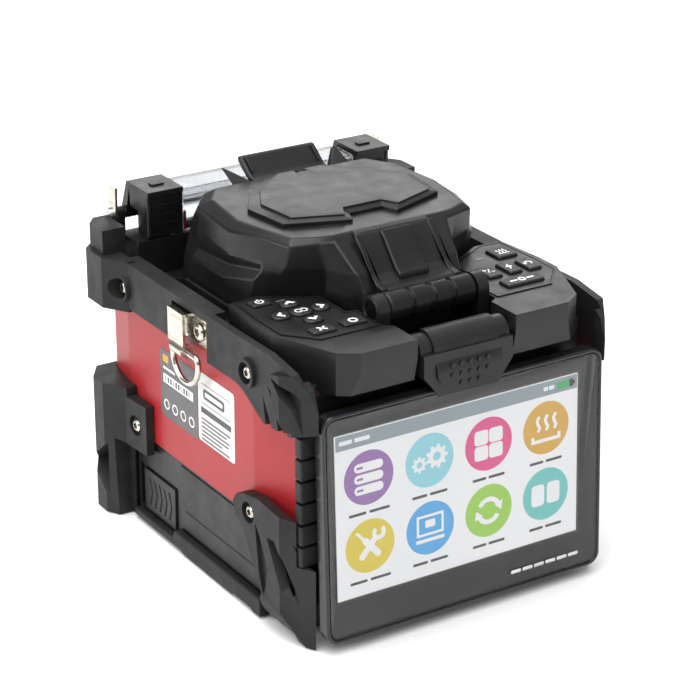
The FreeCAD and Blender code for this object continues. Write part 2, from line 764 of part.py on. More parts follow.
def make_display():
    """Display: frame, glass, panel, rear housing, and the tongue that carries it on its hinge."""
    half, low, top = size("bezel_half"), size("bezel_low"), size("bezel_top")
    left = -size("screen_left")
    right = left + size("screen_wide")
    bottom = size("screen_mid") - size("screen_tall") / 2
    upper = bottom + size("screen_tall")
    rim, gap = 1.5, 0.2
    window = box_outline(left - gap, right + gap, bottom - gap, upper + gap)
    glass = box_outline(rim - half, half - rim, low + rim, top - rim, 4)
    axis_y, axis_z = -size("tilt_axis_back"), size("tilt_axis_high")
    radius = size("tongue_radius")

    frame = Piece("display_frame").lean()
    outline = box_outline(-half, half, low, top, 5)
    frame.pad("XZ", "-(bezel_front)", "-(bezel_back)", outline)
    frame.cut("XZ", "-(bezel_front) - 1", "-(bezel_front) + 1.2", glass)
    frame.cut("XZ", "-(bezel_front) - 1", "-(bezel_back) + 1", window)

    sheet_glass = Piece("display_glass").lean()
    edge = rim + gap
    inset = box_outline(edge - half, half - edge, low + edge, top - edge, 3.8)
    sheet_glass.pad("XZ", "-(bezel_front) + 0.1", "-(bezel_front) + 1.2", inset)

    panel = Piece("display_panel").lean()
    screen = box_outline(left, right, bottom, upper)
    panel.pad("XZ", "-(bezel_front) + 1.4", "-(bezel_front) + 4.4", screen)

    back = Piece("display_back").lean()
    back_half, back_wall = 57.4, 2
    hollow_half = back_half - back_wall
    back_outline = box_outline(-back_half, back_half, low + 3, top - 3, 6)
    hollow = box_outline(-hollow_half, hollow_half, low + 5, top - 5, 4)
    back.pad("XZ", "-(bezel_back)", "-(back_rear)", back_outline)
    back.cut("XZ", "-(bezel_back) - 1", "-(back_rear) - 1.8", hollow)

    tongue = Piece("display_tongue").lean()
    wide = 19.6
    hexagon = mirrored([(12.8, top - 2.4), (wide, top + 6), (wide, axis_z)])
    above_frame = mirrored([(14.2, top + 0.1), (wide, top + 6), (wide, axis_z)])
    front = "-(bezel_front)"
    tongue.pad("XZ", f"{front} - 1.2", f"{front} - 0.05", hexagon)
    tongue.pad("XZ", f"{front} - 0.1", "-(bezel_back) - 1", above_frame)
    tongue.pad("YZ", "-(tongue_half)", "tongue_half", circle(axis_y, axis_z, radius))
    tongue.cut("YZ", "-(tongue_half) - 1", "tongue_half + 1", circle(axis_y, axis_z, size("pin_bore")))
    for row, count in DOT_ROWS:
        for number in range(count):
            across = (number - (count - 1) / 2) * DOT_STEP
            tongue.pad("XZ", f"{front} - 1.9", f"{front} - 1.1", circle(across, row, DOT_RADIUS))


# ---------------------------------------------------------------- heater


def heater_axis():
    return size("heater_axis_back"), size("heater_axis_high")


def make_heater_base():
    """Heater body with its trough, a notched post under each clamp and the two rod blocks."""
    axis_y, axis_z = heater_axis()
    front = size("heater_front")
    post = [(65, 115), (74, 115), (74, 127), (70.6, 127), (70, 121), (69, 121), (68.4, 127), (65, 127)]
    base = Piece("heater_base")
    half, floor = size("heater_half"), 102
    base.pad("XY", floor, "heater_top", box_outline(-half, half, front, 76, 0.8))
    base.pad("XY", floor, "heater_top - 4.6", box_outline(-half, half, 70, size("heater_rear"), 0.8))
    base.cut("XY", "heater_top - 8", "heater_top + 1", box_outline(-36, 36, front + 4, front + 12))
    for side in (LEFT, RIGHT):
        base.pad("YZ", *span(side, 43.6, 53.4), post)
        base.pad("YZ", *span(side, 57, 60.8), box_outline(axis_y - 2.5, axis_y + 2.5, 110, axis_z))
        base.pad("YZ", *span(side, 57, 60.8), circle(axis_y, axis_z, 2.5))
        base.cut("YZ", *span(side, 56, 61.5), circle(axis_y, axis_z, size("rod_radius")))


def make_heater_cover(label, low, high, profile):
    """One hinged heater part of constant section: a front wall, a top and an arm to the rod."""
    axis_y, axis_z = heater_axis()
    cover = Piece(label)
    cover.pad("YZ", low, high, profile)
    cover.pad("YZ", low, high, circle(axis_y, axis_z, size("knuckle_radius")))
    cover.cut("YZ", f"({low}) - 1", f"({high}) + 1", circle(axis_y, axis_z, size("rod_bore")))
    return cover


def make_heater_covers():
    """The clear lid over the trough and the clamp at each end of it."""
    cap = size("cap_top")
    clamp = [
        (59.6, 134.2),
        (60.6, 134.2),
        (60.6, 117.2),
        (63, 117.2),
        (63, 133.8),
        (75.4, 133.8),
        (78.1, 122.5),
        (82.5, 123.5),
        (77.6, cap),
        (59.6, cap),
    ]
    lid = [
        (61.6, 117.2),
        (63.2, 117.2),
        (63.2, 132.8),
        (74.6, 132.8),
        (78.1, 122.5),
        (82.1, 124),
        (76.4, 134.6),
        (61.6, 134.6),
    ]
    button = box_outline(45.4, 51, 66, 69.4, 0.6)
    for side in (LEFT, RIGHT):
        clamp_span = span(side, "clamp_inner", "clamp_outer")
        cover = make_heater_cover(f"heater_clamp_{SIDE_NAMES[side]}", *clamp_span, clamp)
        cover.pad("XY", "cap_top - 0.1", "cap_top + 0.7", on_side(side, button))
    make_heater_cover("heater_lid", "-(lid_half)", "lid_half", lid)


def make_heater_details():
    """Ceramic tray in the trough and the metal plate at each end of the hinge rod."""
    axis_y, axis_z = heater_axis()
    front = size("heater_front")
    tray = Piece("heater_tray")
    tray_plan = box_outline(-35.8, 35.8, front + 4.2, front + 11.8)
    tray.pad("XY", "heater_top - 8", "heater_top - 3", tray_plan)
    tray.cut("YZ", -40, 40, circle(front + 8, size("heater_top") - 2.4, 2.6))
    plates = Piece("heater_hinge_plates")
    outline = [
        (75.4, 111),
        (80.4, 111),
        (82.8, 117),
        (83, 132.6),
        (81.6, 134.6),
        (76, 134.6),
        (76.4, 120),
    ]
    for side in (LEFT, RIGHT):
        plates.pad("YZ", *span(side, 61.1, 62.2), outline)
        plates.cut("YZ", *span(side, 61, 62.5), circle(axis_y, axis_z, size("rod_radius")))


# ---------------------------------------------------------------- splicing stage

STAGE_TOP = 104
POST_PLACES = ((-28, -8), (-28, 32), (28, -8), (28, 32))
POST_RADIUS = 4


def make_stage_base():
    """Stage block on four posts from the frame plate, with a sight hole over each camera."""
    base = Piece("stage_base")
    base.pad("XY", STAGE_TOP - 10, STAGE_TOP, box_outline(-33, 33, -14, 38, 2))
    for place in POST_PLACES:
        base.pad("XY", "case_top + 1.7", STAGE_TOP - 9, circle(*place, POST_RADIUS))
    base.cut("XY", STAGE_TOP - 14, STAGE_TOP + 1, circle(0, -2, 5), circle(0, 12, 5))


def make_groove_blocks():
    """Ceramic blocks with the V-groove, one on each side of the arc."""
    fibre_y, fibre_z = size("fibre_back"), size("fibre_high")
    section = [
        (fibre_y - 5, STAGE_TOP),
        (fibre_y + 5, STAGE_TOP),
        (fibre_y + 5, fibre_z),
        (fibre_y + 0.6, fibre_z),
        (fibre_y, fibre_z - 0.8),
        (fibre_y - 0.6, fibre_z),
        (fibre_y - 5, fibre_z),
    ]
    blocks = Piece("groove_blocks")
    for side in (LEFT, RIGHT):
        blocks.pad("YZ", *span(side, 5.4, 12.4), section)


def make_electrodes():
    """Pointed rods that face each other across the fibres, each in its holder."""
    fibre_y, fibre_z = size("fibre_back"), size("fibre_high")
    holders = Piece("electrode_holders")
    rods = Piece("electrodes")
    for away in (-1, 1):
        tip, cone, end = (fibre_y + away * reach for reach in (1.2, 3.4, 21))
        inner, outer = sorted((fibre_y + away * 10, fibre_y + away * 18))
        holders.pad("XY", STAGE_TOP, STAGE_TOP + 13, box_outline(-4.6, 4.6, inner, outer, 0.8))
        holders.cut("XZ", inner - 1, outer + 1, circle(0, fibre_z, 1.02))
        half_section = [(end, 0), (end, 1), (cone, 1), (tip, 0)]
        drawing = rods.sketch("YZ", 0, [[(along, fibre_z + up) for along, up in half_section]])
        turned = rods.body.newObject("PartDesign::Revolution", "electrode_turned")
        turned.Profile = drawing
        turned.ReferenceAxis = (drawing, ["Edge4"])
        turned.Angle = 360


# hinge of the sheath clamps, as (y, z), and the X stretches of their hinge ear and of their base
CLAMP_AXIS = (15.2, 115.2)
EAR_INNER, EAR_OUTER = 15, 18
BASE_OUTER = 33


def make_sheath_clamps():
    """Clamps that hold the coated fibre on each side: a grooved base and a hinged lid."""
    fibre_y, fibre_z = size("fibre_back"), size("fibre_high")
    axis_y, axis_z = CLAMP_AXIS
    knuckle = circle(axis_y, axis_z, 1.8)
    base_section = box_outline(fibre_y - 9, fibre_y + 7, STAGE_TOP, fibre_z - 0.4)
    ear = [(12, STAGE_TOP), (17, STAGE_TOP), (17, axis_z), (13.4, axis_z), (12, 112)]
    lid_section = [
        (fibre_y - 9, fibre_z),
        (12, fibre_z),
        (axis_y, axis_z - 1.7),
        (axis_y, axis_z + 1.8),
        (fibre_y - 9, 116.4),
    ]
    bases = Piece("sheath_clamp_bases")
    for side in (LEFT, RIGHT):
        bases.pad("YZ", *span(side, EAR_INNER, BASE_OUTER), base_section)
        bases.pad("YZ", *span(side, EAR_INNER, EAR_OUTER), ear)
        bases.pad("YZ", *span(side, EAR_INNER, EAR_OUTER), knuckle)
        groove = circle(fibre_y, fibre_z - 0.4, 0.7)
        bases.cut("YZ", *span(side, EAR_INNER - 1, BASE_OUTER + 1), groove)
        bases.cut("YZ", *span(side, EAR_INNER - 1, EAR_OUTER + 1), circle(axis_y, axis_z, 0.8))
        lid = Piece(f"sheath_clamp_lid_{SIDE_NAMES[side]}")
        lid.pad("YZ", *span(side, EAR_OUTER + 0.4, BASE_OUTER), lid_section)
        lid.pad("YZ", *span(side, EAR_OUTER + 0.4, BASE_OUTER), knuckle)
        lid.cut("YZ", *span(side, EAR_OUTER, BASE_OUTER + 1), circle(axis_y, axis_z, 0.85))


def make_hinge_pins():
    """The pins of the wind cover, the display and the sheath clamps, and the heater's rod."""
    pins = Piece("hinge_pins")
    radius = size("pin_radius") - 0.02
    pins.pad("YZ", -24, 24, circle(-size("cover_axis_back"), size("cover_axis_high"), radius))
    pins.pad("YZ", -24.6, 24.6, circle(-size("tilt_axis_back"), size("tilt_axis_high"), radius))
    pins.pad("YZ", -62.3, 62.3, circle(*heater_axis(), size("rod_radius") - 0.02))
    for side in (LEFT, RIGHT):
        pins.pad("YZ", *span(side, 62.2, 63.2), circle(*heater_axis(), 2.6))
        pins.pad("YZ", *span(side, EAR_INNER + 0.2, BASE_OUTER - 0.2), circle(*CLAMP_AXIS, 0.78))


# ---------------------------------------------------------------- inside the case


def make_inner_parts():
    """Cameras, motors, boards and sockets."""
    cameras = Piece("microscope_cameras")
    for along in (-6, 18):
        cameras.pad("XY", 62, 93.8, circle(0, along, 8))
    motors = Piece("drive_motors")
    for side in (LEFT, RIGHT):
        motors.pad("XY", 74, 93.8, circle(side * 20, 8, 7))
    board = Piece("main_board")
    board.pad("XY", "case_top + 2.2", "case_top + 3.8", box_outline(-54, 54, -56, 60, 2))
    post_holes = [circle(*place, POST_RADIUS + 0.4) for place in POST_PLACES]
    board.cut("XY", "case_top + 2", "case_top + 4", *post_holes)
    converter = Piece("high_voltage_module")
    converter.pad("XY", "case_top + 3.8", 60, box_outline(10, 50, 38, 58, 1))


def make_ports():
    """Connector panel in the right wall, with a power socket and two data sockets behind it."""
    panel = Piece("port_panel")
    power_place = (-13, 22)
    data_places = (-2, 11)
    openings = [circle(*power_place, 4.6)]
    for low in data_places:
        openings.append(box_outline(low - 0.2, low + 7.2, 15.2, 28.8, 0.5))
    panel.pad("YZ", 63, 65.2, box_outline(-21.8, 21.8, 12.2, 31.8, 1))
    panel.cut("YZ", 62, 66, *openings)
    sockets = Piece("port_sockets")
    sockets.pad("YZ", 54, 64.8, circle(*power_place, 4.5))
    sockets.cut("YZ", 56, 65, circle(*power_place, 3))
    sockets.pad("YZ", 55, 63, circle(*power_place, 0.9))
    for low in data_places:
        sockets.pad("YZ", 52, 64.8, box_outline(low, low + 7, 15.4, 28.6))
        sockets.cut("YZ", 54, 65, box_outline(low + 0.8, low + 6.2, 16.2, 27.8))


def make_feet():
    feet = Piece("rubber_feet")
    for across in (-50, 50):
        for along in (-50, 62):
            feet.pad("XY", 0, "floor_low", circle(across, along, 7))


def make_skids():
    """Rubber strip along the lower edge of each side, between the corner guards."""
    outline = [
        (-43.6, 0.8),
        (-38, 0.8),
        (-36, 1.6),
        (-24, 1.6),
        (-22, 0.8),
        (16, 0.8),
        (18, 1.6),
        (56, 1.6),
        (56, 5),
        (24.6, 5),
        (23, 8.6),
        (-43.6, 8.6),
    ]
    skids = Piece("side_skids")
    for side in (LEFT, RIGHT):
        skids.pad("YZ", *span(side, 65.1, 68.4), outline)


# ---------------------------------------------------------------- build, check and write


def build():
    make_case()
    make_shell()
    make_top_cover()
    make_frame_plate()
    for side in (LEFT, RIGHT):
        make_upper_guard(side)
        make_strap_ring(side)
    make_rear_guards()
    make_front_guards()
    make_corner_grips()
    make_skids()
    make_strap_brackets()
    make_screws()
    make_battery()
    make_latch()
    make_keypads()
    make_status_lights()
    make_wind_cover()
    make_cover_badge()
    make_fibre_pressers()
    make_display()
    make_heater_base()
    make_heater_covers()
    make_heater_details()
    make_stage_base()
    make_groove_blocks()
    make_electrodes()
    make_sheath_clamps()
    make_hinge_pins()
    make_inner_parts()
    make_ports()
    make_feet()


def check():
    """Stops when anything in the document failed, is empty or invalid, or a cut removed nothing."""
    for item in doc.Objects:
        if "Invalid" in item.State or "Error" in item.State:
            raise RuntimeError(f"{item.Name} failed: {item.State}")
    for part in parts:
        if part.Shape.isNull() or not part.Shape.isValid() or part.Shape.Volume <= 0:
            raise RuntimeError(f"{part.Label} has no valid solid")
    for feature in cuts:
        before = feature.BaseFeature.Shape.Volume
        if feature.Shape.Volume > before - 0.01:
            raise RuntimeError(f"{feature.Name} cuts nothing")


build()
doc.recompute()
check()
os.makedirs("parts", exist_ok=True)
for part in parts:
    part.Shape.exportStep(f"parts/{part.Label}.step")
print(len(parts), "parts written")
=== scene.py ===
"""Looks of the fiber fusion splicer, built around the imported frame.

The scene is in metres, with X to the right, Y to the rear and Z up. Outlines are written in millimetres
and turned into metres by MM where a mesh is made."""

import json
import math

import bmesh
import bpy
from mathutils import Matrix, Vector


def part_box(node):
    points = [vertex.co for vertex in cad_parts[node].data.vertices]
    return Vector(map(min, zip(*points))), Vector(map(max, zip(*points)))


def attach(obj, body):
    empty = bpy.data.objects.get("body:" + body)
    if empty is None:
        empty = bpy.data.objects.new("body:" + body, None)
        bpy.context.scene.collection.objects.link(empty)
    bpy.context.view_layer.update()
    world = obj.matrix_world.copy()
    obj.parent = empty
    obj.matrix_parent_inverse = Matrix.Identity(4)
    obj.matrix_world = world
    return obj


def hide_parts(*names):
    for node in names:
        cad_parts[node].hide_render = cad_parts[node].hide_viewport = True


MM = 0.001
SIDES = ((-1, "left"), (1, "right"))
MERGE_DISTANCE = 0.004 * MM
CUT_MERGE_DISTANCE = 0.01 * MM
FLAT_ANGLE = math.radians(0.6)

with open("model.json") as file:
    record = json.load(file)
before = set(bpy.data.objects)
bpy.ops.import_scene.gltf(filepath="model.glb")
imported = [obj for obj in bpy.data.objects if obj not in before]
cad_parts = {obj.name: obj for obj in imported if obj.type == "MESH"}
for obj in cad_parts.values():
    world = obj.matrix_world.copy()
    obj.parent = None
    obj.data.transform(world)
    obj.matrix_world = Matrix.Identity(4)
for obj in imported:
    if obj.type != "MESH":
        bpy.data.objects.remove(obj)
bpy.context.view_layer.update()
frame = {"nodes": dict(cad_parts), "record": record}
node_body = {n: b for b, names in frame["record"]["behaviour"]["bodies"].items() for n in names}
joints = {joint["name"]: joint for joint in frame["record"]["behaviour"]["joints"]}


def joint_place(name):
    """Where a joint's axis passes, in millimetres."""
    return Vector(joints[name]["pos_m"]) / MM


COVER_AXIS = tuple(joint_place("cover_hinge").yz)
TILT_AXIS = joint_place("display_tilt")


# ---------------------------------------------------------------- materials


class Nodes:
    """Short calls for one material's node tree."""

    def __init__(self, name):
        self.material = bpy.data.materials.new(name)
        self.material.use_nodes = True
        self.tree = self.material.node_tree
        self.tree.nodes.clear()
        self.output = self.add("ShaderNodeOutputMaterial")
        self.shader = self.add("ShaderNodeBsdfPrincipled")
        self.link(self.shader, "BSDF", self.output, "Surface")
        self.place = self.add("ShaderNodeTexCoord")

    def add(self, kind, **values):
        node = self.tree.nodes.new(kind)
        for key, value in values.items():
            setattr(node, key, value)
        return node

    def link(self, a, out, b, into):
        self.tree.links.new(a.outputs[out], b.inputs[into])

    def noise(self, scale, detail=4.0, stretch=None):
        noise = self.add("ShaderNodeTexNoise")
        noise.inputs["Scale"].default_value = scale
        noise.inputs["Detail"].default_value = detail
        if stretch:
            mapping = self.add("ShaderNodeMapping")
            mapping.inputs["Scale"].default_value = stretch
            self.link(self.place, "Object", mapping, "Vector")
            self.link(mapping, "Vector", noise, "Vector")
        else:
            self.link(self.place, "Object", noise, "Vector")
        return noise

    def colours(self, noise, low, high, start=0.35, end=0.65):
        ramp = self.add("ShaderNodeValToRGB")
        ramp.color_ramp.elements[0].position = start
        ramp.color_ramp.elements[1].position = end
        ramp.color_ramp.elements[0].color = (*low, 1)
        ramp.color_ramp.elements[1].color = (*high, 1)
        self.link(noise, "Fac", ramp, "Fac")
        return ramp

    def spread(self, noise, low, high):
        spread = self.add("ShaderNodeMapRange")
        spread.inputs["From Min"].default_value = 0.3
        spread.inputs["From Max"].default_value = 0.7
        spread.inputs["To Min"].default_value = low
        spread.inputs["To Max"].default_value = high
        self.link(noise, "Fac", spread, "Value")
        return spread

    def bump(self, noise, strength, depth):
        bump = self.add("ShaderNodeBump")
        bump.inputs["Strength"].default_value = strength
        bump.inputs["Distance"].default_value = depth
        self.link(noise, "Fac", bump, "Height")
        return bump


def surface(name, low, high, rough, grain=None, cloud=60, stretch=None, **sockets):
    """A material whose colour and roughness drift softly, with a fine grain in its bump."""
    nodes = Nodes(name)
    drift = nodes.noise(cloud, 5, stretch)
    nodes.link(nodes.colours(drift, low, high), "Color", nodes.shader, "Base Color")
    wear = nodes.noise(cloud * 3.1, 6, stretch)
    nodes.link(nodes.spread(wear, *rough), "Result", nodes.shader, "Roughness")
    if grain:
        scale, strength, depth = grain
        fine = nodes.noise(scale, 3, stretch)
        nodes.link(nodes.bump(fine, strength, depth), "Normal", nodes.shader, "Normal")
    for socket, value in sockets.items():
        nodes.shader.inputs[socket.replace("_", " ")].default_value = value
    return nodes.material


RED = surface(
    "red_powder_coat", (0.33, 0.014, 0.018), (0.37, 0.02, 0.024), (0.38, 0.44), (2600, 0.25, 0.00004), 12,
    Specular_IOR_Level=0.3, Coat_Weight=0.12, Coat_Roughness=0.35,
)
PLASTIC = surface(
    "black_moulding", (0.007, 0.0072, 0.0078), (0.012, 0.0124, 0.0134), (0.3, 0.42),
    (2200, 0.5, 0.00008), 45, Specular_IOR_Level=0.36,
)
SATIN = surface(
    "black_satin", (0.006, 0.0062, 0.0066), (0.011, 0.0113, 0.012), (0.26, 0.38),
    (2600, 0.3, 0.00005), 40, Specular_IOR_Level=0.3,
)
RUBBER = surface(
    "guard_rubber", (0.012, 0.0122, 0.0128), (0.02, 0.0203, 0.021), (0.42, 0.56),
    (1500, 0.5, 0.0001), 50, Specular_IOR_Level=0.22,
)
DOOR = surface(
    "door_moulding", (0.022, 0.0215, 0.0225), (0.032, 0.0315, 0.0325), (0.42, 0.58),
    (1900, 0.6, 0.0001), 45, Specular_IOR_Level=0.35,
)
NICKEL = surface(
    "nickel_plate", (0.5, 0.47, 0.4), (0.66, 0.63, 0.56), (0.14, 0.24), (700, 0.12, 0.00003), 90,
    (1, 1, 6), Metallic=1.0,
)
STEEL = surface(
    "ground_steel", (0.45, 0.45, 0.46), (0.6, 0.6, 0.61), (0.25, 0.4), (900, 0.3, 0.00004), 120,
    (9, 1, 1), Metallic=1.0,
)
ALUMINIUM = surface(
    "machined_aluminium", (0.35, 0.36, 0.38), (0.5, 0.51, 0.53), (0.3, 0.45), (900, 0.3, 0.00005), 80,
    (1, 8, 1), Metallic=1.0,
)
CERAMIC = surface(
    "white_ceramic", (0.75, 0.74, 0.7), (0.86, 0.85, 0.82), (0.15, 0.3), (1800, 0.2, 0.00003), 60
)
BOARD = surface(
    "solder_mask", (0.01, 0.09, 0.035), (0.015, 0.14, 0.05), (0.25, 0.4), (500, 0.4, 0.0001), 200
)
KEY = surface(
    "key_silicone", (0.009, 0.0092, 0.0096), (0.015, 0.0152, 0.016), (0.4, 0.55), (1900, 0.5, 0.00007), 80
)
BEZEL = surface(
    "bezel_gloss", (0.008, 0.0085, 0.01), (0.012, 0.0126, 0.0145), (0.16, 0.26), (2400, 0.1, 0.00003), 40
)
LEGEND = surface("white_print", (0.8, 0.8, 0.8), (0.9, 0.9, 0.9), (0.4, 0.5), (3000, 0.2, 0.00003), 200)
SEAL = surface("red_seal", (0.5, 0.02, 0.02), (0.62, 0.04, 0.04), (0.45, 0.6), (1500, 0.3, 0.00005), 80)

PAPER = (0.35, 0.5)
PAPER_GRAIN = (2800, 0.2, 0.00003)
LABEL_GREY = surface("label_grey", (0.085, 0.08, 0.083), (0.105, 0.1, 0.103), PAPER, PAPER_GRAIN, 80)
LABEL_WHITE = surface("label_white", (0.62, 0.615, 0.6), (0.7, 0.695, 0.68), PAPER, PAPER_GRAIN, 80)


def clear(name, tint, rough=0.03):
    """Clear moulding with faint flow marks."""
    nodes = Nodes(name)
    shader = nodes.shader
    drift = nodes.noise(30, 3)
    lighter = tuple(min(1, c * 1.04) for c in tint)
    nodes.link(nodes.colours(drift, tint, lighter), "Color", shader, "Base Color")
    nodes.link(nodes.spread(nodes.noise(90, 4), rough, rough * 2), "Result", shader, "Roughness")
    nodes.link(nodes.bump(nodes.noise(120, 2), 0.08, 0.0001), "Normal", shader, "Normal")
    shader.inputs["Transmission Weight"].default_value = 1.0
    shader.inputs["IOR"].default_value = 1.35
    return nodes.material


LID = clear("clear_lid", (0.62, 0.64, 0.66), 0.1)
GLASS = clear("touch_glass", (0.97, 0.98, 0.98), 0.02)


def lit(name, colour, strength):
    """A screen colour that gives off its own light, with the panel's fine dot raster."""
    nodes = Nodes(name)
    shader = nodes.shader
    raster = nodes.noise(4200, 2)
    low = tuple(c * 0.97 for c in colour)
    ramp = nodes.colours(raster, low, colour)
    dim = nodes.colours(raster, tuple(c * 0.1 for c in low), tuple(c * 0.1 for c in colour))
    nodes.link(dim, "Color", shader, "Base Color")
    nodes.link(ramp, "Color", shader, "Emission Color")
    nodes.link(nodes.spread(nodes.noise(60), 0.3, 0.36), "Result", shader, "Roughness")
    shader.inputs["Emission Strength"].default_value = strength
    return nodes.material


# ---------------------------------------------------------------- pieces


def add_piece(mesh, name, body, material):
    piece = bpy.data.objects.new(name, mesh)
    bpy.context.scene.collection.objects.link(piece)
    mesh.materials.clear()
    mesh.materials.append(material)
    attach(piece, body)
    return piece


def round_edges(piece, width, segments=2, angle=28, crease=18):
    bevel = piece.modifiers.new("edges", "BEVEL")
    bevel.width = width * MM
    bevel.segments = segments
    bevel.limit_method = "ANGLE"
    bevel.angle_limit = math.radians(angle)
    bevel.use_clamp_overlap = True
    piece.data.shade_smooth()
    piece.data.set_sharp_from_angle(angle=math.radians(min(angle, crease)))
    normals = piece.modifiers.new("normals", "WEIGHTED_NORMAL")
    normals.weight = 60
    normals.keep_sharp = True
    return piece


def moulded(node, material, width=0.4, segments=2, angle=28):
    """A CAD node's shape with rounded edges, standing for that node."""
    source = frame["nodes"][node].data
    mesh = bpy.data.meshes.new(f"{node}_shape")
    points = [tuple(v.co) for v in source.vertices]
    mesh.from_pydata(points, [], [tuple(p.vertices) for p in source.polygons])
    shape = bmesh.new()
    shape.from_mesh(mesh)
    bmesh.ops.remove_doubles(shape, verts=shape.verts, dist=MERGE_DISTANCE)
    bmesh.ops.dissolve_limit(shape, angle_limit=FLAT_ANGLE, verts=shape.verts, edges=shape.edges)
    bmesh.ops.recalc_face_normals(shape, faces=shape.faces)
    shape.to_mesh(mesh)
    shape.free()
    piece = add_piece(mesh, f"{node}.looks", node_body[node], material)
    round_edges(piece, width, segments, angle)
    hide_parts(node)
    return piece


MOULDED = (
    (RED, 0.5, ("side_shell",)),
    (PLASTIC, 0.5, ("lower_case", "battery_latch", "port_panel", "heater_base")),
    (PLASTIC, 0.7, ("top_cover",)),
    (DOOR, 0.5, ("battery_pack",)),
    (SATIN, 0.6, ("heater_clamp_left", "heater_clamp_right")),
    (PLASTIC, 0.2, ("keypad_plates",)),
    (BEZEL, 1.2, ("display_frame",)),
    (PLASTIC, 1.5, ("display_back",)),
    (PLASTIC, 0.5, ("display_tongue",)),
    (RUBBER, 1.6, ("upper_guard_left", "upper_guard_right", "rear_guards", "front_guards")),
    (RUBBER, 0.6, ("corner_grips", "side_skids", "rubber_feet")),
    (NICKEL, 0.25, ("strap_brackets", "heater_hinge_plates")),
    (LID, 0.3, ("heater_lid",)),
    (ALUMINIUM, 0.3, ("stage_base", "sheath_clamp_bases")),
    (ALUMINIUM, 0.3, ("sheath_clamp_lid_left", "sheath_clamp_lid_right")),
    (CERAMIC, 0.2, ("groove_blocks", "heater_tray", "fibre_pressers")),
    (STEEL, 0.2, ("electrode_holders", "port_sockets")),
)
# the sheet-metal shell keeps its shallow folds, so its edges are found by a smaller angle
FOLD_ANGLE = {"side_shell": 6}
looks = {}
for material, width, names in MOULDED:
    for name in names:
        segments = 3 if width > 1 else 2
        looks[name] = moulded(name, material, width, segments, FOLD_ANGLE.get(name, 28))


def blacken_shell_ends():
    """The shell's flat front, behind the display, and its rear are black."""
    front, half_width, rear = -62.5, 58, 78
    shell = looks["side_shell"].data
    shell.materials.append(PLASTIC)
    for polygon in shell.polygons:
        x, y, _ = polygon.center / MM
        is_front = y < front and abs(x) < half_width
        if is_front or y > rear:
            polygon.material_index = 1


blacken_shell_ends()


def shave(node, *planes):
    """Cuts flat facets on a moulded piece; a plane is a point in millimetres and an outward direction."""
    mesh = looks[node].data
    shape = bmesh.new()
    shape.from_mesh(mesh)
    for point, outward in planes:
        cut = bmesh.ops.bisect_plane(
            shape,
            geom=list(shape.verts) + list(shape.edges) + list(shape.faces),
            plane_co=Vector(point) * MM,
            plane_no=Vector(outward),
            clear_outer=True,
        )
        rim = [part for part in cut["geom_cut"] if isinstance(part, bmesh.types.BMEdge)]
        bmesh.ops.holes_fill(shape, edges=rim)
    bmesh.ops.recalc_face_normals(shape, faces=shape.faces)
    shape.to_mesh(mesh)
    shape.free()


shave("top_cover", ((0, -77.4, 108), (0, -1, -0.22)))
for side, name in SIDES:
    shave("front_guards", ((side * 70.6, -62, 0), (side * 0.86, -0.5, 0)))
    shave("front_guards", ((side * 70.6, 0, 12), (side * 0.9, 0, -0.44)))
    shave(f"upper_guard_{name}", ((side * 71.5, -64, 0), (side * 0.86, -0.5, 0)))


def groove_shape(verts, faces, side, groove):
    """Adds one groove's cutter, whose outline shrinks by the taper from its outer x to its inner x."""
    outline, outer, inner, taper = groove
    first, count = len(verts), len(outline)
    mid_y = sum(y for y, _ in outline) / count
    mid_z = sum(z for _, z in outline) / count
    verts += [Vector((side * outer, y, z)) * MM for y, z in outline]
    for y, z in outline:
        verts.append(Vector((side * inner, mid_y + (y - mid_y) * taper, mid_z + (z - mid_z) * taper)) * MM)
    faces.append([first + i for i in range(count)])
    faces.append([first + count + i for i in reversed(range(count))])
    for i in range(count):
        after = (i + 1) % count
        faces.append([first + i, first + count + i, first + count + after, first + after])


def carve(node, grooves, sides=(-1, 1)):
    """Cuts tapered grooves into a moulded piece, on the given sides of the instrument."""
    piece = looks[node]
    verts, faces = [], []
    for side in sides:
        for groove in grooves:
            groove_shape(verts, faces, side, groove)
    mesh = bpy.data.meshes.new(f"{node}_cutter")
    mesh.from_pydata(verts, [], faces)
    shape = bmesh.new()
    shape.from_mesh(mesh)
    bmesh.ops.recalc_face_normals(shape, faces=shape.faces)
    shape.to_mesh(mesh)
    shape.free()
    cutter = bpy.data.objects.new(f"{node}_cutter", mesh)
    bpy.context.scene.collection.objects.link(cutter)
    work = bpy.data.objects.new(f"{node}_work", piece.data)
    bpy.context.scene.collection.objects.link(work)
    cut = work.modifiers.new("groove", "BOOLEAN")
    cut.object = cutter
    cut.operation = "DIFFERENCE"
    cut.solver = "EXACT"
    bpy.context.view_layer.update()
    evaluated = work.evaluated_get(bpy.context.evaluated_depsgraph_get())
    carved = bpy.data.meshes.new_from_object(evaluated)
    shape = bmesh.new()
    shape.from_mesh(carved)
    bmesh.ops.remove_doubles(shape, verts=shape.verts, dist=CUT_MERGE_DISTANCE)
    bmesh.ops.dissolve_limit(shape, angle_limit=FLAT_ANGLE, verts=shape.verts, edges=shape.edges)
    shape.to_mesh(carved)
    shape.free()
    piece.data = carved
    bpy.data.objects.remove(work)
    bpy.data.objects.remove(cutter)


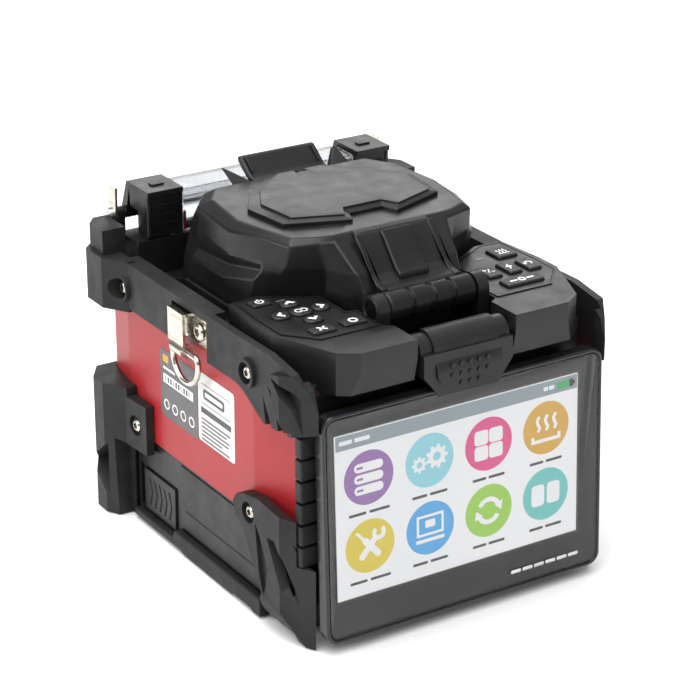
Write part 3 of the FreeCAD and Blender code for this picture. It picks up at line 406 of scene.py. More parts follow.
# outline, outer x, inner x and taper of each groove
BUMPER_FLUTES = (
    (((-47.5, 98), (-50, 84), (-53, 70), (-60, 70), (-54.5, 86)), 71.4, 65.9, 0.55),
    (((-49.5, 103.5), (-56.5, 92), (-63, 70), (-73, 70), (-66, 88), (-57, 98.5)), 73.4, 65.9, 0.6),
    (((-56, 107.6), (-67, 97), (-76, 76), (-86, 84), (-79.5, 98), (-68, 105.5)), 76, 66.6, 0.7),
)
LEG_FLUTES = (
    (((-51.6, 41), (-57, 42), (-63, 36), (-69.6, 22), (-75, 7.5), (-63, 20)), 72.4, 66.4, 0.6),
    (((-64, 47), (-68, 45), (-79, 26), (-82.5, 10), (-79.5, 9), (-73, 28)), 74, 66.8, 0.7),
    (((-44, 44), (-47.4, 40), (-54, 27), (-51, 12), (-49.6, 13.4), (-46.8, 22)), 73, 69, 0.8),
)
REAR_GROOVES = (
    (((62, 35), (57.4, 35), (56.2, -4), (60.8, -4)), 74, 66.8, 0.85),
    (((64, 33), (80, 20), (64, 7)), 79, 68.8, 0.7),
)
for side, name in SIDES:
    carve(f"upper_guard_{name}", BUMPER_FLUTES, (side,))
carve("front_guards", LEG_FLUTES)
carve("rear_guards", REAR_GROOVES)
for name in frame["nodes"]:
    if name.startswith("key_"):
        moulded(name, KEY, 0.5)

# nodes that keep their CAD mesh and only get a material
KEPT = (
    (NICKEL, ("strap_ring_left", "strap_ring_right")),
    (STEEL, ("hinge_pins", "electrodes")),
    (ALUMINIUM, ("frame_plate", "microscope_cameras", "drive_motors")),
    (BOARD, ("main_board", "high_voltage_module")),
    (GLASS, ("display_glass",)),
    (lit("screen_white", (0.83, 0.835, 0.85), 0.81), ("display_panel",)),
    (lit("status_green", (0.5, 0.55, 0.5), 0.1), ("status_lights",)),
)
for material, names in KEPT:
    for name in names:
        node = frame["nodes"][name]
        node.data.materials.clear()
        node.data.materials.append(material)


# ---------------------------------------------------------------- prints and flat details


def bar(left, right, low, high, corner=0.0, steps=5):
    """Rectangle outline with rounded corners, in millimetres."""
    if not corner:
        return [(left, low), (right, low), (right, high), (left, high)]
    points = []
    inner_left, inner_right = left + corner, right - corner
    inner_low, inner_high = low + corner, high - corner
    for cx, cy, start in (
        (inner_right, inner_low, -90),
        (inner_right, inner_high, 0),
        (inner_left, inner_high, 90),
        (inner_left, inner_low, 180),
    ):
        for step in range(steps + 1):
            turn = math.radians(start + 90 * step / steps)
            points.append((cx + corner * math.cos(turn), cy + corner * math.sin(turn)))
    return points


def disc(x, y, radius, steps=48):
    turns = [2 * math.pi * step / steps for step in range(steps)]
    return [(x + radius * math.cos(a), y + radius * math.sin(a)) for a in turns]


def arc(x, y, radius, width, start, end, steps=28):
    """Part of a ring, as one outline."""
    turns = [math.radians(start + (end - start) * step / steps) for step in range(steps + 1)]
    outer, inner = radius + width / 2, radius - width / 2
    return ([(x + outer * math.cos(a), y + outer * math.sin(a)) for a in turns]
            + [(x + inner * math.cos(a), y + inner * math.sin(a)) for a in reversed(turns)])


def stroke(points, width):
    """A bent line of even width, as one outline."""
    left, right = [], []
    for index, point in enumerate(points):
        before = Vector(points[max(index - 1, 0)])
        after = Vector(points[min(index + 1, len(points) - 1)])
        along = (after - before).normalized()
        side = Vector((-along.y, along.x)) * width / 2
        left.append(tuple(Vector(point) + side))
        right.append(tuple(Vector(point) - side))
    return left + right[::-1]


def turned(outline, x, y, degrees, scale=1.0):
    """An outline drawn about the origin, turned and moved to a place."""
    c, s = math.cos(math.radians(degrees)) * scale, math.sin(math.radians(degrees)) * scale
    return [(x + c * px - s * py, y + s * px + c * py) for px, py in outline]


def plate(name, outlines, place, body, material, thick=0.03, lift=0.0):
    """Thin raised prints on a plane; place turns (across, up, outward) into the scene's directions."""
    shape = bmesh.new()
    for outline in outlines:
        low = [shape.verts.new(place @ Vector((x, y, lift)) * MM) for x, y in outline]
        high = [shape.verts.new(place @ Vector((x, y, lift + thick)) * MM) for x, y in outline]
        shape.faces.new(high)
        shape.faces.new(low[::-1])
        for index in range(len(outline)):
            after = (index + 1) % len(outline)
            shape.faces.new((low[index], low[after], high[after], high[index]))
    bmesh.ops.recalc_face_normals(shape, faces=shape.faces)
    mesh = bpy.data.meshes.new(name)
    shape.to_mesh(mesh)
    shape.free()
    return add_piece(mesh, name, body, material)


def facing_front(x, y, z):
    """Plane that looks to the front, through a point."""
    return Matrix(((1, 0, 0, x), (0, 0, -1, y), (0, 1, 0, z), (0, 0, 0, 1)))


def facing_left(x):
    """Plane that looks to the left: across runs from the rear to the front."""
    return Matrix(((0, 0, -1, x), (-1, 0, 0, 0), (0, 1, 0, 0), (0, 0, 0, 1)))


def facing_up(z):
    return Matrix(((1, 0, 0, 0), (0, 1, 0, 0), (0, 0, 1, z), (0, 0, 0, 1)))


# ---------------------------------------------------------------- screen

LEAN = Matrix.Rotation(math.radians(-2.6), 4, "X")
TILT = Matrix.Translation(TILT_AXIS)
IN_DISPLAY = TILT @ LEAN @ TILT.inverted()
SCREEN = IN_DISPLAY @ facing_front(0, -76.02, 0)
LEFT, RIGHT, HIGH = -56.4, 51.0, 85.5
ROW_TOP, ROW_LOW = 67.0, 39.9
COLUMNS = (-42.6, -16.2, 10.2, 36.6)
ICON = 10.6


def screen_print(name, outlines, colour, lift, glow=0.78):
    plate(name, outlines, SCREEN, "display", lit(name, colour, glow), 0.02, lift)


def caption(x, y, width, tall=0.55):
    """Two small bars that stand for the words of a caption."""
    outlines, across = [], x - width / 2
    for share in (0.42, 0.5):
        outlines.append(bar(across, across + width * share, y - tall, y + tall, 0.3))
        across += width * (share + 0.08)
    return outlines


def gear(x, y, outer, inner, teeth):
    points = []
    for tooth in range(teeth):
        for share, radius in ((-0.3, inner), (-0.18, outer), (0.18, outer), (0.3, inner)):
            a = 2 * math.pi * (tooth + share) / teeth
            points.append((x + radius * math.cos(a), y + radius * math.sin(a)))
    return points


def arrow_head(x, y, degrees, size=1.0):
    return turned([(0, 2.2), (-2.0, -1.2), (2.0, -1.2)], x, y, degrees, size)


def list_glyph(x, y):
    return [bar(x - 6.2, x + 6.2, y + up - 1.75, y + up + 1.75, 1.7) for up in LIST_ROWS]


def gears_glyph(x, y):
    return [gear(x - 4.5, y - 0.9, 3.3, 2.5, 8), gear(x + 3.2, y + 0.9, 4.8, 3.7, 9)]


def tiles_glyph(x, y):
    centres = [(x + across, y + up) for across in (-3.3, 3.3) for up in (-3.1, 3.1)]
    return [bar(a - 3.1, a + 3.1, b - 2.9, b + 2.9, 1.3) for a, b in centres]


def heater_glyph(x, y):
    wave = [(0, -3), (0.9, -1.6), (0, 0), (-0.4, 1.4), (0.6, 3.2)]
    glyph = []
    for shift in (-3.4, 0.4, 4.2):
        glyph.append(stroke([(x + shift + a - 0.4, y + b + 2) for a, b in wave], 1.35))
    glyph.append(bar(x - 6.8, x + 6.8, y - 5.6, y - 4.2))
    glyph += [bar(x - 6.8, x - 5.4, y - 5.6, y - 2.8), bar(x + 5.4, x + 6.8, y - 5.6, y - 2.8)]
    return glyph


def tools_glyph(x, y):
    """A wrench across a screwdriver."""
    glyph = [turned(bar(-1.3, 1.3, -6.4, 4.2, 1.1), x, y, degrees) for degrees in (-42, 42)]
    glyph.append(turned(arc(0, 0, 2.1, 1.7, 130, 410), x + 3.9, y + 4.3, 0))
    glyph.append(turned(bar(-0.55, 0.55, -2.4, 2.4, 0.3), x - 4.2, y + 4.6, 42))
    return glyph


def computer_glyph(x, y):
    return [
        bar(x - 6, x + 6, y + 4.6, y + 5.6),
        bar(x - 6, x + 6, y - 2.8, y - 1.8),
        bar(x - 6, x - 5, y - 2.8, y + 5.6),
        bar(x + 5, x + 6, y - 2.8, y + 5.6),
        bar(x - 2.2, x + 2.2, y + 0.4, y + 3.4, 0.4),
        bar(x - 6.4, x + 6.4, y - 5.4, y - 4, 0.6),
    ]


def cycle_glyph(x, y):
    arcs = [arc(x, y, 4.6, 1.9, 20, 150), arc(x, y, 4.6, 1.9, 200, 330)]
    return arcs + [arrow_head(x + 4.9, y + 1.2, 200), arrow_head(x - 4.9, y - 1.2, 20)]


def book_glyph(x, y):
    return [bar(x - 6.6, x - 0.6, y - 4.4, y + 4.4, 1.5), bar(x + 0.6, x + 6.6, y - 4.4, y + 4.4, 1.5)]


LIST_ROWS = (4.4, 0, -4.4)
# colour and white mark of each icon, row by row
ICONS = (
    (
        ((0.27, 0.115, 0.38), list_glyph),
        ((0.26, 0.63, 0.72), gears_glyph),
        ((0.72, 0.035, 0.22), tiles_glyph),
        ((0.66, 0.36, 0.02), heater_glyph),
    ),
    (
        ((0.7, 0.55, 0.01), tools_glyph),
        ((0.045, 0.36, 0.76), computer_glyph),
        ((0.29, 0.58, 0.03), cycle_glyph),
        ((0.115, 0.53, 0.5), book_glyph),
    ),
)
CAPTION_WIDTHS = (17.5, 15.5, 14.5, 15)
GLYPH_WHITE = (0.86, 0.86, 0.87)
INK = (0.05, 0.05, 0.055)


def make_status_bar():
    """Grey bar along the top of the screen, with the battery's level and marks in place of words."""
    low, high = HIGH - 4.4, HIGH - 1.3
    screen_print("screen_bar", [bar(LEFT, RIGHT, HIGH - 5.6, HIGH)], (0.24, 0.3, 0.33), 0.0)
    screen_print("screen_level", [bar(41.6, 47.4, low, high)], (0.03, 0.38, 0.13), 0.03)
    level_end = [bar(47.4, 49, low, high), bar(49, 49.9, HIGH - 3.6, HIGH - 2.1)]
    screen_print("screen_level_end", level_end, (0.01, 0.01, 0.01), 0.03, 0.1)
    marks = caption(-48.4, HIGH - 2.8, 13, 0.8) + caption(37.8, HIGH - 2.8, 5, 0.8)
    screen_print("screen_clock", marks, (0.8, 0.82, 0.83), 0.03)


def make_screen():
    """The status bar, eight round icons with their captions, and the line of marks under the screen."""
    make_status_bar()
    captions, glyphs = [], []
    for row, height in enumerate((ROW_TOP, ROW_LOW)):
        for column, across in enumerate(COLUMNS):
            colour, glyph = ICONS[row][column]
            screen_print(f"screen_icon_{row}{column}", [disc(across, height, ICON)], colour, 0.0)
            captions += caption(across, height - 13.6, CAPTION_WIDTHS[column])
            glyphs += glyph(across, height)
    screen_print("screen_captions", captions, INK, 0.0, 0.1)
    screen_print("screen_glyphs", glyphs, GLYPH_WHITE, 0.03)

    x, y = COLUMNS[0], ROW_TOP
    dashes = [bar(x - 5.2, x - 2.4, y + up - 0.45, y + up + 0.45, 0.4) for up in LIST_ROWS]
    screen_print("screen_glyph_dashes", dashes, ICONS[0][0][0], 0.06)
    x = COLUMNS[1]
    hubs = [disc(x - 4.5, y - 0.9, 1.2), disc(x + 3.2, y + 0.9, 1.7)]
    screen_print("screen_glyph_hubs", hubs, ICONS[0][1][0], 0.06)

    mark_width, mark_step = 4.6, 5.4
    starts = [20 + mark_step * number for number in range(6)]
    marks = [bar(start, start + mark_width, 10.9, 12.3, 0.3) for start in starts]
    plate("bezel_print", marks, IN_DISPLAY @ facing_front(0, -77.28, 0), "display", LEGEND, 0.02)


make_screen()


# ---------------------------------------------------------------- key legends

KEY_FACE = 117.4


def centre_of(node):
    low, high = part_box(node)
    return (low + high) / 2 / MM


def legend(key, outlines):
    middle = centre_of(f"key_{key}")
    moved = [[(x + middle.x, y + middle.y) for x, y in outline] for outline in outlines]
    plate(f"legend_{key}", moved, facing_up(KEY_FACE), f"key_{key}", LEGEND, 0.05, -0.005)


def make_legends():
    legend("power", [arc(0, 0, 1.45, 0.6, 125, 415), bar(-0.3, 0.3, 0.1, 2.1)])
    chevron = [(0, 1.7), (-2.3, -0.7), (-1.1, -1.1), (0, 0), (1.1, -1.1), (2.3, -0.7)]
    for key, degrees in (("up", 0), ("left", 90), ("down", 180), ("right", -90)):
        legend(key, [turned(chevron, 0, 0, degrees)])
    links = [arc(-1.1, 0, 1.3, 0.5, 40, 320), arc(1.1, 0, 1.3, 0.5, -140, 140)]
    legend("centre", links + [bar(-0.5, 0.5, -0.25, 0.25)])
    legend("cancel", [turned(bar(-2.1, 2.1, -0.4, 0.4), 0, 0, d) for d in (40, -40)])
    legend("confirm", [arc(0, 0, 1.5, 0.8, 0, 350)])
    wave = [(0, -1.4), (0.5, -0.6), (0, 0.2), (-0.3, 0.9), (0.3, 1.6)]
    heat = [stroke([(x + shift, y + 0.4) for x, y in wave], 0.5) for shift in (-1.5, 0, 1.5)]
    legend("heat", heat + [bar(-2.4, 2.4, -2.1, -1.6)])
    legend("reset", [arc(0, 0, 1.4, 0.55, -60, 200), arrow_head(-1.5, -0.2, 170, 0.5)])
    legend("arc", [[(0.9, 2.8), (-1.6, -0.1), (-0.2, -0.1), (-0.9, -2.8), (1.6, 0.5), (0.2, 0.5)]])
    plus = [bar(-2.2, -0.6, 0.9, 1.3), bar(-1.6, -1.2, 0.3, 1.9)]
    slash = turned(bar(-1.8, 1.8, -0.2, 0.2), 0, 0, 62)
    legend("axis", plus + [slash, bar(0.6, 2.2, -1.3, -0.9)])
    dashes = [bar(-5.4, -2.2, -0.5, 0.5, 0.4), bar(2.2, 5.4, -0.5, 0.5, 0.4)]
    legend("set", dashes + [arc(0, 0, 1.2, 0.8, 0, 352)])


make_legends()


# ---------------------------------------------------------------- wind cover


def built(name, verts, faces, body, material, edge=0.6, segments=2, angle=28, stands_for=()):
    """A piece from points in millimetres and faces, with rounded edges."""
    mesh = bpy.data.meshes.new(name)
    mesh.from_pydata([Vector(v) * MM for v in verts], [], faces)
    shape = bmesh.new()
    shape.from_mesh(mesh)
    bmesh.ops.remove_doubles(shape, verts=shape.verts, dist=MERGE_DISTANCE)
    bmesh.ops.recalc_face_normals(shape, faces=shape.faces)
    shape.to_mesh(mesh)
    shape.free()
    piece = add_piece(mesh, name, body, material)
    round_edges(piece, edge, segments, angle)
    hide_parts(*stands_for)
    return piece


def prism(outline, low, high):
    """Points and faces of an outline in (y, z) pushed from one x to another."""
    count = len(outline)
    verts = [(low, y, z) for y, z in outline] + [(high, y, z) for y, z in outline]
    faces = [tuple(range(count))[::-1], tuple(range(count, 2 * count))]
    faces += [(i, (i + 1) % count, (i + 1) % count + count, i + count) for i in range(count)]
    return verts, faces


def ring_faces(rings, count):
    """Faces between neighbouring rings of points, with the same count of points in every ring."""
    faces = []
    for low in range(0, (rings - 1) * count, count):
        high = low + count
        for step in range(count):
            after = (step + 1) % count
            faces.append((low + step, low + after, high + after, high + step))
    return faces


def lathe_x(name, profile, axis, body, material, steps=40, stands_for=()):
    """A turned piece about a line along X, from (x, radius) pairs."""
    verts = []
    for x, radius in profile:
        for step in range(steps):
            a = 2 * math.pi * step / steps
            verts.append((x, axis[0] + radius * math.cos(a), axis[1] + radius * math.sin(a)))
    faces = ring_faces(len(profile), steps)
    return built(name, verts, faces, body, material, 0.3, 2, 40, stands_for)


# left half of each ring from the front middle to the rear middle, from the foot up
HOOD_RINGS = (
    (
        (0, -44, 102.8), (-22.6, -44, 102.8), (-27.4, -24, 102.8), (-44, -11, 102.8),
        (-49.8, -4, 102.8), (-49.8, 14, 102.8), (-49.8, 40, 102.8), (-45.5, 53, 102.8),
        (0, 53, 102.8),
    ),
    (
        (0, -44.3, 115), (-21.6, -44.3, 115), (-27, -24, 115), (-43.6, -12, 114.4),
        (-49.8, -7, 114), (-49.8, 14, 112), (-49.3, 39, 111), (-45.2, 51.5, 112), (0, 51.5, 112),
    ),
    (
        (0, -42.4, 121), (-21.6, -42.4, 121), (-27.4, -24.6, 121), (-42.6, -14.6, 121.5),
        (-49.5, -10, 122.2), (-49.6, 14, 115.6), (-48.6, 38, 115.4), (-44.6, 50.4, 117),
        (0, 50.4, 117),
    ),
    (
        (0, -40.4, 124.2), (-21.8, -40.4, 124.2), (-27.8, -25, 124), (-41.6, -17, 124.6),
        (-47.4, -11.6, 125.6), (-46.6, 13, 120), (-47.2, 37, 119), (-44, 49.6, 121),
        (0, 49.6, 121),
    ),
    (
        (0, -38.4, 127.6), (-22.2, -38.4, 127.6), (-28.4, -25.6, 127), (-41.4, -19.4, 127.6),
        (-46.4, -11, 128.4), (-48.6, 10, 125.6), (-47.4, 36, 127), (-43, 48.8, 127),
        (0, 48.8, 127),
    ),
    (
        (0, -26.6, 137.6), (-24.6, -26.6, 137.6), (-30.5, -25, 137.2), (-40.6, -21, 136.6),
        (-44.6, -6, 136.8), (-48.6, 10, 135), (-46.6, 37.6, 135.6), (-38.4, 47.4, 136.6),
        (0, 47.4, 137.4),
    ),
    (
        (0, -24.2, 139.2), (-24, -24.2, 139.2), (-29.8, -22.8, 139), (-38, -18.4, 138.8),
        (-41.4, -5, 138.6), (-44.6, 10.4, 138.2), (-41.6, 34.4, 138.6), (-34, 44.6, 139),
        (0, 45.2, 139.2),
    ),
)


def make_hood():
    """Thin shell through the rings, mirrored to the right and closed at the top."""
    verts = []
    for ring in HOOD_RINGS:
        verts += list(ring) + [(-x, y, z) for x, y, z in ring[1:-1]][::-1]
    count = len(verts) // len(HOOD_RINGS)
    faces = ring_faces(len(HOOD_RINGS), count)
    faces.append(tuple(range(len(verts) - count, len(verts))))
    hood = built("wind_cover_shell", verts, faces, "cover", SATIN, 1.3, 3, 14, ("wind_cover",))
    wall = hood.modifiers.new("wall", "SOLIDIFY")
    wall.thickness = 2 * MM
    wall.offset = -1
    hood.modifiers.move(2, 0)


def make_cover_arm():
    """Curved arm from the hood to its barrel, with a raised border, and the grooved barrel."""
    top = [
        (-24.6, 139.9), (-28.4, 139.2), (-31.6, 136), (-35.6, 131), (-39.4, 126.6), (-43.4, 124.2),
        (-47.6, 123.6),
    ]
    under = [(-50.6, 121), (-47.6, 113.6), (-43.2, 116), (-40.4, 118.6), (-34, 127), (-24, 136)]
    verts, faces = prism(top + under, -16.6, 16.6)
    built("cover_arm", verts, faces, "cover", SATIN, 1.1, 3, 22)
    for side, name in SIDES:
        ridge = [(y - 0.3, z + 0.35) for y, z in top[1:]] + [(y, z - 0.6) for y, z in reversed(top[1:])]
        verts, faces = prism(ridge, side * 14.8, side * 17.4)
        built(f"cover_arm_border_{name}", verts, faces, "cover", SATIN, 0.5, 2, 22)
    tab = [
        (-29.6, 139.6), (-32.6, 137.2), (-36.8, 132.2), (-40.4, 128.2), (-43.2, 126.4), (-43.4, 124),
        (-39.4, 126.4), (-35.6, 130.8), (-31.6, 135.8), (-29, 138.6),
    ]
    verts, faces = prism(tab, -6.6, 6.6)
    built("cover_arm_tab", verts, faces, "cover", SATIN, 0.7, 3, 22)
    half = [
        (0, 5.0), (1.2, 5.0), (1.2, 5.7), (8.2, 5.7), (8.2, 4.9), (10, 4.9), (10, 5.7), (18.3, 5.7),
        (19.1, 5.0), (19.1, 1.7),
    ]
    profile = [(-x, r) for x, r in reversed(half)] + half[1:]
    lathe_x("cover_barrel", profile, COVER_AXIS, "cover", SATIN)


def make_finger_tab():
    """Lip at the rear of the hood with a dished front, and the pointed ear at each side."""
    section = [
        (43.5, 138.6), (47.4, 139.4), (55.4, 145.6), (57.6, 145.4), (57.2, 143), (47, 136), (43.5, 136),
    ]
    verts, faces = prism(section, -17.4, 17.4)
    built("finger_tab", verts, faces, "cover", SATIN, 1.0, 3, 25)
    dish = [(48.4, 140.9), (54.6, 145.7), (54.2, 146.0), (48, 141.2)]
    for side, name in SIDES:
        verts, faces = prism(dish, *sorted((side * 14.8, side * 15.6)))
        built(f"finger_tab_rib_{name}", verts, faces, "cover", SATIN, 0.2, 2, 25)
    for side, name in SIDES:
        base = [
            (side * 17.6, 43, 138.4), (side * 27, 43, 138.2), (side * 22.6, 47, 136.6),
            (side * 17.6, 47, 136.6),
        ]
        tip = (side * 26.6, 55, 143.4)
        verts = base + [tip, (side * 24.2, 54.4, 142.2)]
        faces = [(0, 1, 4), (1, 2, 4), (2, 3, 5), (2, 5, 4), (3, 0, 5), (0, 4, 5), (0, 3, 2, 1)]
        built(f"finger_ear_{name}", verts, faces, "cover", SATIN, 0.4, 2, 20)


def make_hinge_knobs():
    """Round ends of the posts that carry the cover, with a chamfered rim and a dished cap."""
    profile = [
        (19.6, 1.9), (19.6, 5.1), (20.2, 5.7), (22.6, 5.7), (22.6, 5.3), (23.1, 5.3), (23.1, 5.7),
        (24.2, 5.7), (24.9, 5.0), (24.9, 4.2), (24.4, 4.0), (24.4, 0.1),
    ]
    foot = [(-56.6, 112), (-45.4, 112), (-45.4, 118), (-56.6, 118)]
    for side, name in SIDES:
        lathe_x(f"hinge_knob_{name}", [(side * x, r) for x, r in profile], COVER_AXIS, "root", PLASTIC)
        verts, faces = prism(foot, side * 19.8, side * 24.2)
        built(f"hinge_foot_{name}", verts, faces, "root", PLASTIC, 0.4)


def make_badge():
    """Notched plate on the hood with a bevelled border and a raised middle."""
    outer = [
        (7.4, -9.6), (10, -16.2), (34.8, -7), (37.6, 14.6), (28.4, 29), (10.4, 43.6), (1, 43.6), (1, 38.6),
    ]
    inner = [
        (8.6, -7), (12, -13.6), (31, -6.4), (33, 12.6), (25.4, 26), (9.6, 39.4), (2.4, 39.4), (2.4, 36.8),
    ]
    raised = [
        (9.8, -3), (14, -9.6), (25, -5.4), (27.6, 10.4), (21.6, 22), (9, 33), (3.6, 33), (3.6, 31.8),
    ]
    rings = []
    for outline, z in ((outer, 138.6), (outer, 140.2), (inner, 141.1), (inner, 141.9), (raised, 142.3)):
        rings.append([(-x, y, z) for x, y in outline] + [(x, y, z) for x, y in reversed(outline)])
    count = len(rings[0])
    verts = [point for ring in rings for point in ring]
    faces = [tuple(range(count))[::-1], tuple(range(len(verts) - count, len(verts)))]
    faces += ring_faces(len(rings), count)
    built("badge_plate", verts, faces, "cover", SATIN, 0.35, 2, 8, ("cover_badge",))


def make_clamp_cheeks():
    """End walls of the heater clamps, with the step where the fibre enters."""
    outline = [
        (60.2, 117.4), (66.4, 117.4), (66.4, 124.6), (69.4, 126.4), (75, 126.4), (75.6, 134.4),
        (60.2, 134.4),
    ]
    for side, name in SIDES:
        verts, faces = prism(outline, side * 54.6, side * 56.3)
        built(f"clamp_cheek_{name}", verts, faces, f"clamp_{name}", PLASTIC, 0.4)
        verts, faces = prism([(66, 129), (73, 129), (73, 134), (66, 134)], side * 41.2, side * 54)
        built(f"clamp_pad_{name}", verts, faces, f"clamp_{name}", RUBBER, 0.5)


make_hood()
make_badge()
make_hinge_knobs()
make_clamp_cheeks()
make_cover_arm()
make_finger_tab()


# ---------------------------------------------------------------- tongue, keypad rims, seals


def make_thumb_pad():
    """Raised pad that wraps the display's barrel and ends in a U on the tongue."""
    radius, half_width = 6.75, 14.4
    path = []
    for step in range(9):
        a = math.radians(70 + 115 * step / 8)
        path.append((TILT_AXIS.y + radius * math.cos(a), TILT_AXIS.z + radius * math.sin(a), half_width))
    path += [(-78.0, 105.6, half_width), (-79.0, 103, half_width), (-79.15, 100.2, 14.2)]
    for step in range(1, 8):
        drop = 6.4 * math.sin(math.radians(90 * step / 7))
        path.append((-79.15, 100.2 - drop, 14.2 * math.cos(math.radians(86 * step / 7))))
    verts, faces, across = [], [], 9
    for y, z, half in path:
        for column in range(across):
            verts.append(IN_DISPLAY @ Vector((half * (2 * column / (across - 1) - 1), y, z)))
    for row in range(len(path) - 1):
        for column in range(across - 1):
            a = row * across + column
            faces.append((a, a + 1, a + across + 1, a + across))
    pad = built("thumb_pad", verts, faces, "display", PLASTIC, 0.2, 2, 60)
    wall = pad.modifiers.new("wall", "SOLIDIFY")
    wall.thickness = 0.75 * MM
    wall.offset = 0
    pad.modifiers.move(2, 0)
    dots = []
    for row, count in ((103.2, 5), (99.2, 5), (95.6, 3)):
        dots += [disc((column - (count - 1) / 2) * 3.9, row, 0.9, 20) for column in range(count)]
    plate("thumb_dots", dots, IN_DISPLAY @ facing_front(0, -79.5, 0), "display", PLASTIC, 0.55)


# (y, z) of the screw at the rear of each shoulder
REAR_SCREW = (57.8, 100.4)


def rim_lines(outline, width):
    """One thin bar per side of an outline."""
    bars = []
    for index, start in enumerate(outline):
        end = outline[(index + 1) % len(outline)]
        bars.append(stroke([start, end], width))
    return bars


def make_rims():
    """On each side: keypad rim, lines on the heater clamp, ring round the rear screw, and red seal."""
    outline = [
        (26.2, -59.6), (51, -59.6), (61, -48.2), (61, -33), (60, -13.8), (50.3, -13.4), (30.7, -24.8),
        (30.7, -43.2), (26.2, -44.2),
    ]
    ring = ((68, 4.3), (70.5, 4.3), (71, 4.6), (71, 5.2), (70.6, 5.6), (67, 5.8), (67, 4.3), (68, 4.3))
    front = facing_front(0, 59.62, 0)
    for side, name in SIDES:
        moved = [(side * x, y) for x, y in outline]
        plate(f"keypad_rim_{name}", rim_lines(moved, 0.5), facing_up(115.9), "root", SATIN, 0.55)
        low, high = sorted((side * 41.6, side * 55.4))
        lines = rim_lines(bar(low + 1.4, high - 1.4, 122.8, 130.4), 0.5)
        lines.append(bar(side * 48.5 - 2.6, side * 48.5 + 2.6, 126.2, 127))
        plate(f"clamp_marks_{name}", lines, front, f"clamp_{name}", SATIN, 0.3)
        profile = [(side * x, radius) for x, radius in ring]
        lathe_x(f"screw_rim_{name}", profile, REAR_SCREW, "root", RUBBER)
        edge = sorted((side * 36.6, side * 39.2))
        verts, faces = prism([(65, 116.6), (72, 116.6), (72, 124), (65, 124)], *edge)
        built(f"heater_seal_{name}", verts, faces, "root", SEAL, 0.5)


make_thumb_pad()
make_rims()


# ---------------------------------------------------------------- side label


def make_label():
    """Two-part rating label on the left side, with bars and plain marks in place of print."""
    side = facing_left(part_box("side_shell")[0].x / MM - 0.01)
    # across = -y: the rear edge of the label is at the left
    grey = bar(-35.5, -6, 54, 82.5, 1.4)
    white = bar(-5.6, 22, 55, 83.7, 1.4)
    plate("label_grey_part", [grey], side, "root", LABEL_GREY, 0.12)
    plate("label_white_part", [white], side, "root", LABEL_WHITE, 0.12)
    dark = surface("label_ink", (0.05, 0.05, 0.05), (0.07, 0.07, 0.07), (0.4, 0.5), PAPER_GRAIN, 100)
    prints = [
        bar(-3, 18.6, 79.2, 79.5),
        bar(-3, 18.6, 71.2, 71.5),
        bar(-1.6, 14.6, 73.3, 77.6, 1.2),
        bar(-3.4, 19.4, 67.2, 69.6),
    ]
    for line, end in enumerate((18.6, 15.8, 18, 17.2, 12.2, 18)):
        prints.append(bar(-3.2, end, 64.4 - line * 1.7, 65.1 - line * 1.7))
    plate("label_ink_marks", prints, side, "root", dark, 0.02, 0.12)
    plate("label_knockout", [bar(-0.2, 13.2, 74.5, 76.4, 0.6)], side, "root", LABEL_WHITE, 0.02, 0.135)
    light = [bar(-33.2, -9.6, 68.6, 72.4, 0.3), bar(-33.2, -24, 74.4, 75.4)]
    for index in range(4):
        middle = -31 + index * 6.6
        light.append(arc(middle, 59.6, 1.9, 0.6, 0, 352))
    plate("label_light_marks", light, side, "root", LEGEND, 0.02, 0.12)
    serial = []
    for index in range(10):
        start = -32 + 2.1 * index
        serial.append(bar(start, start + (1.3 if index % 3 else 0.7), 69.3, 71.7))
    plate("label_serial_marks", serial, side, "root", dark, 0.02, 0.135)
    orange = surface("label_orange", (0.75, 0.3, 0.03), (0.8, 0.36, 0.05), (0.4, 0.5), PAPER_GRAIN, 100)
    plate("label_orange_mark", [bar(-33.2, -29, 77.4, 80.4, 0.5)], side, "root", orange, 0.02, 0.12)


make_label()


# ---------------------------------------------------------------- screws


# y, z, distance from the middle and radius of each head; the last one holds the strap bracket
SCREWS = (
    (*REAR_SCREW, 68.7, 2.7),
    (-38.5, 99.7, 68.7, 2.7),
    (50, 43.9, 68.9, 2.7),
    (-39.4, 43.9, 68.9, 2.7),
    (-1.2, 102, 68.1, 3.5),
)


def make_screws():
    """Pan-head screws with a six-lobed socket, one mesh for the whole group."""
    shape = bmesh.new()
    places = [(side, *screw) for side in (-1, 1) for screw in SCREWS]
    steps = 36
    for side, y, z, out, radius in places:
        rings = []
        for share, up in ((1, -1.0), (1, 0.25), (0.93, 0.75), (0.72, 1.15), (0.56, 1.25)):
            rings.append([(radius * share, up)] * steps)
        lobes = [radius * (0.47 + 0.07 * math.cos(6 * 2 * math.pi * step / steps)) for step in range(steps)]
        rings.append([(r, 1.2) for r in lobes])
        rings.append([(r * 0.94, -0.5) for r in lobes])
        rows = []
        for ring in rings:
            row = []
            for step, (r, up) in enumerate(ring):
                a = 2 * math.pi * step / steps
                point = Vector((side * (out + up), y + r * math.cos(a), z + r * math.sin(a)))
                row.append(shape.verts.new(point * MM))
            rows.append(row)
        for low, high in zip(rows, rows[1:]):
            for step in range(steps):
                after = (step + 1) % steps
                shape.faces.new((low[step], low[after], high[after], high[step]))
        shape.faces.new(rows[-1])
        shape.faces.new(rows[0][::-1])
    bmesh.ops.recalc_face_normals(shape, faces=shape.faces)
    mesh = bpy.data.meshes.new("screw_heads")
    shape.to_mesh(mesh)
    shape.free()
    piece = add_piece(mesh, "screw_heads", "root", NICKEL)
    for polygon in mesh.polygons:
        polygon.use_smooth = True
    mesh.set_sharp_from_angle(angle=math.radians(40))
    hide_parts("case_screws")


make_screws()


# ---------------------------------------------------------------- floor, light and camera


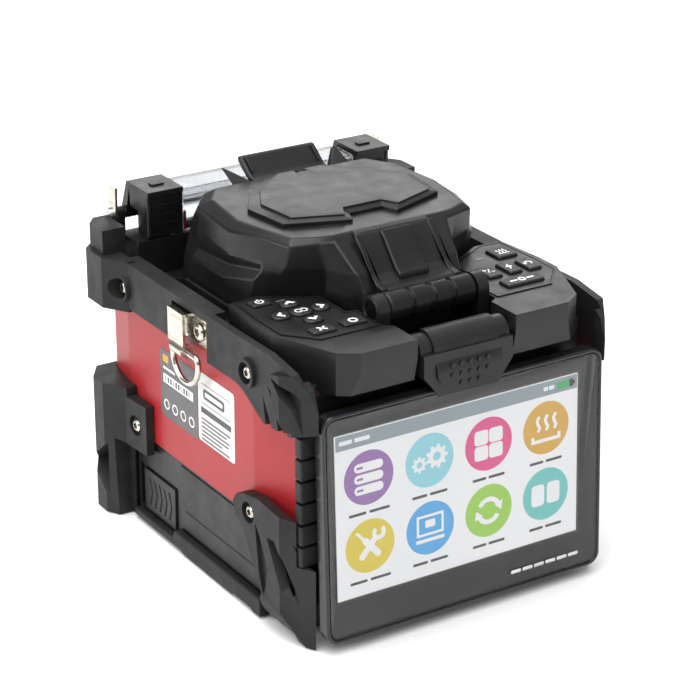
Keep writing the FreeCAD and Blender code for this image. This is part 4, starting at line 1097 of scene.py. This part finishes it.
def stand(name, mesh, material):
    thing = bpy.data.objects.new(name, mesh)
    bpy.context.scene.collection.objects.link(thing)
    mesh.materials.append(material)
    return thing


floor_mesh = bpy.data.meshes.new("floor")
FLOOR_REACH = 6
corners = [(x * FLOOR_REACH, y * FLOOR_REACH, 0) for x, y in ((-1, -1), (1, -1), (1, 1), (-1, 1))]
floor_mesh.from_pydata(corners, [], [(0, 1, 2, 3)])
FLOOR = surface("pale_floor", (0.86, 0.86, 0.86), (0.88, 0.88, 0.88), (0.7, 0.8), None, 2)
stand("floor", floor_mesh, FLOOR)


def area_light(name, place, aim, wide, power):
    light = bpy.data.lights.new(name, "AREA")
    light.shape = "RECTANGLE"
    light.size, light.size_y = wide
    light.energy = power
    lamp = bpy.data.objects.new(name, light)
    lamp.location = place
    lamp.rotation_mode = "QUATERNION"
    lamp.rotation_quaternion = (Vector(aim) - Vector(place)).to_track_quat("-Z", "Y")
    bpy.context.scene.collection.objects.link(lamp)


area_light("left_panel", (-1.3, 0.25, 0.6), (0, 0, 0.07), (0.8, 0.6), 9)
area_light("top_panel", (-0.1, 0.25, 1.2), (0, 0, 0.1), (0.8, 0.8), 9)
area_light("front_panel", (0.25, -1.3, 0.5), (0, 0, 0.07), (0.6, 0.4), 2)
area_light("rear_panel", (0.95, 1.35, 0.85), (0, 0, 0.12), (1.3, 0.7), 6)

sun = bpy.data.objects.new("soft_sun", bpy.data.lights.new("soft_sun", "SUN"))
sun.data.energy = 1.9
sun.data.angle = math.radians(50)
sun.rotation_euler = (math.radians(22), math.radians(-18), 0)
bpy.context.scene.collection.objects.link(sun)

world = bpy.data.worlds.new("studio")
world.use_nodes = True
sky = world.node_tree
coordinates = sky.nodes.new("ShaderNodeTexCoord")
split = sky.nodes.new("ShaderNodeSeparateXYZ")
brightness = sky.nodes.new("ShaderNodeMapRange")
brightness.inputs["From Min"].default_value = 0.05
brightness.inputs["From Max"].default_value = 0.8
brightness.inputs["To Min"].default_value = 0.12
brightness.inputs["To Max"].default_value = 0.75
sky.links.new(coordinates.outputs["Generated"], split.inputs["Vector"])
sky.links.new(split.outputs["Z"], brightness.inputs["Value"])
sky.links.new(brightness.outputs["Result"], sky.nodes["Background"].inputs["Strength"])
sky.nodes["Background"].inputs["Color"].default_value = (1, 1, 1, 1)
bpy.context.scene.world = world
bpy.context.scene.view_settings.view_transform = "Standard"

# solved from the photo: focal length in mm, azimuth, elevation and roll in degrees, place in metres
LENS = 124.93
CAMERA_ANGLES = (-32.605, 23.156, 0.204)
CAMERA_PLACE = (-0.4708, -0.7349, 0.4522)

camera = bpy.data.objects.new("camera", bpy.data.cameras.new("camera"))
camera.data.lens = LENS
camera.data.sensor_width = 36
camera.data.clip_start = 0.05
bpy.context.scene.collection.objects.link(camera)
azimuth, elevation, roll = (math.radians(a) for a in CAMERA_ANGLES)
level = math.cos(elevation)
back = Vector((math.sin(azimuth) * level, -math.cos(azimuth) * level, math.sin(elevation)))
right = Vector((math.cos(azimuth), math.sin(azimuth), 0))
up = back.cross(right)
right, up = math.cos(roll) * right + math.sin(roll) * up, math.cos(roll) * up - math.sin(roll) * right
camera.matrix_world = Matrix((
    (right.x, up.x, back.x, CAMERA_PLACE[0]),
    (right.y, up.y, back.y, CAMERA_PLACE[1]),
    (right.z, up.z, back.z, CAMERA_PLACE[2]),
    (0, 0, 0, 1),
))
bpy.context.scene.camera = camera
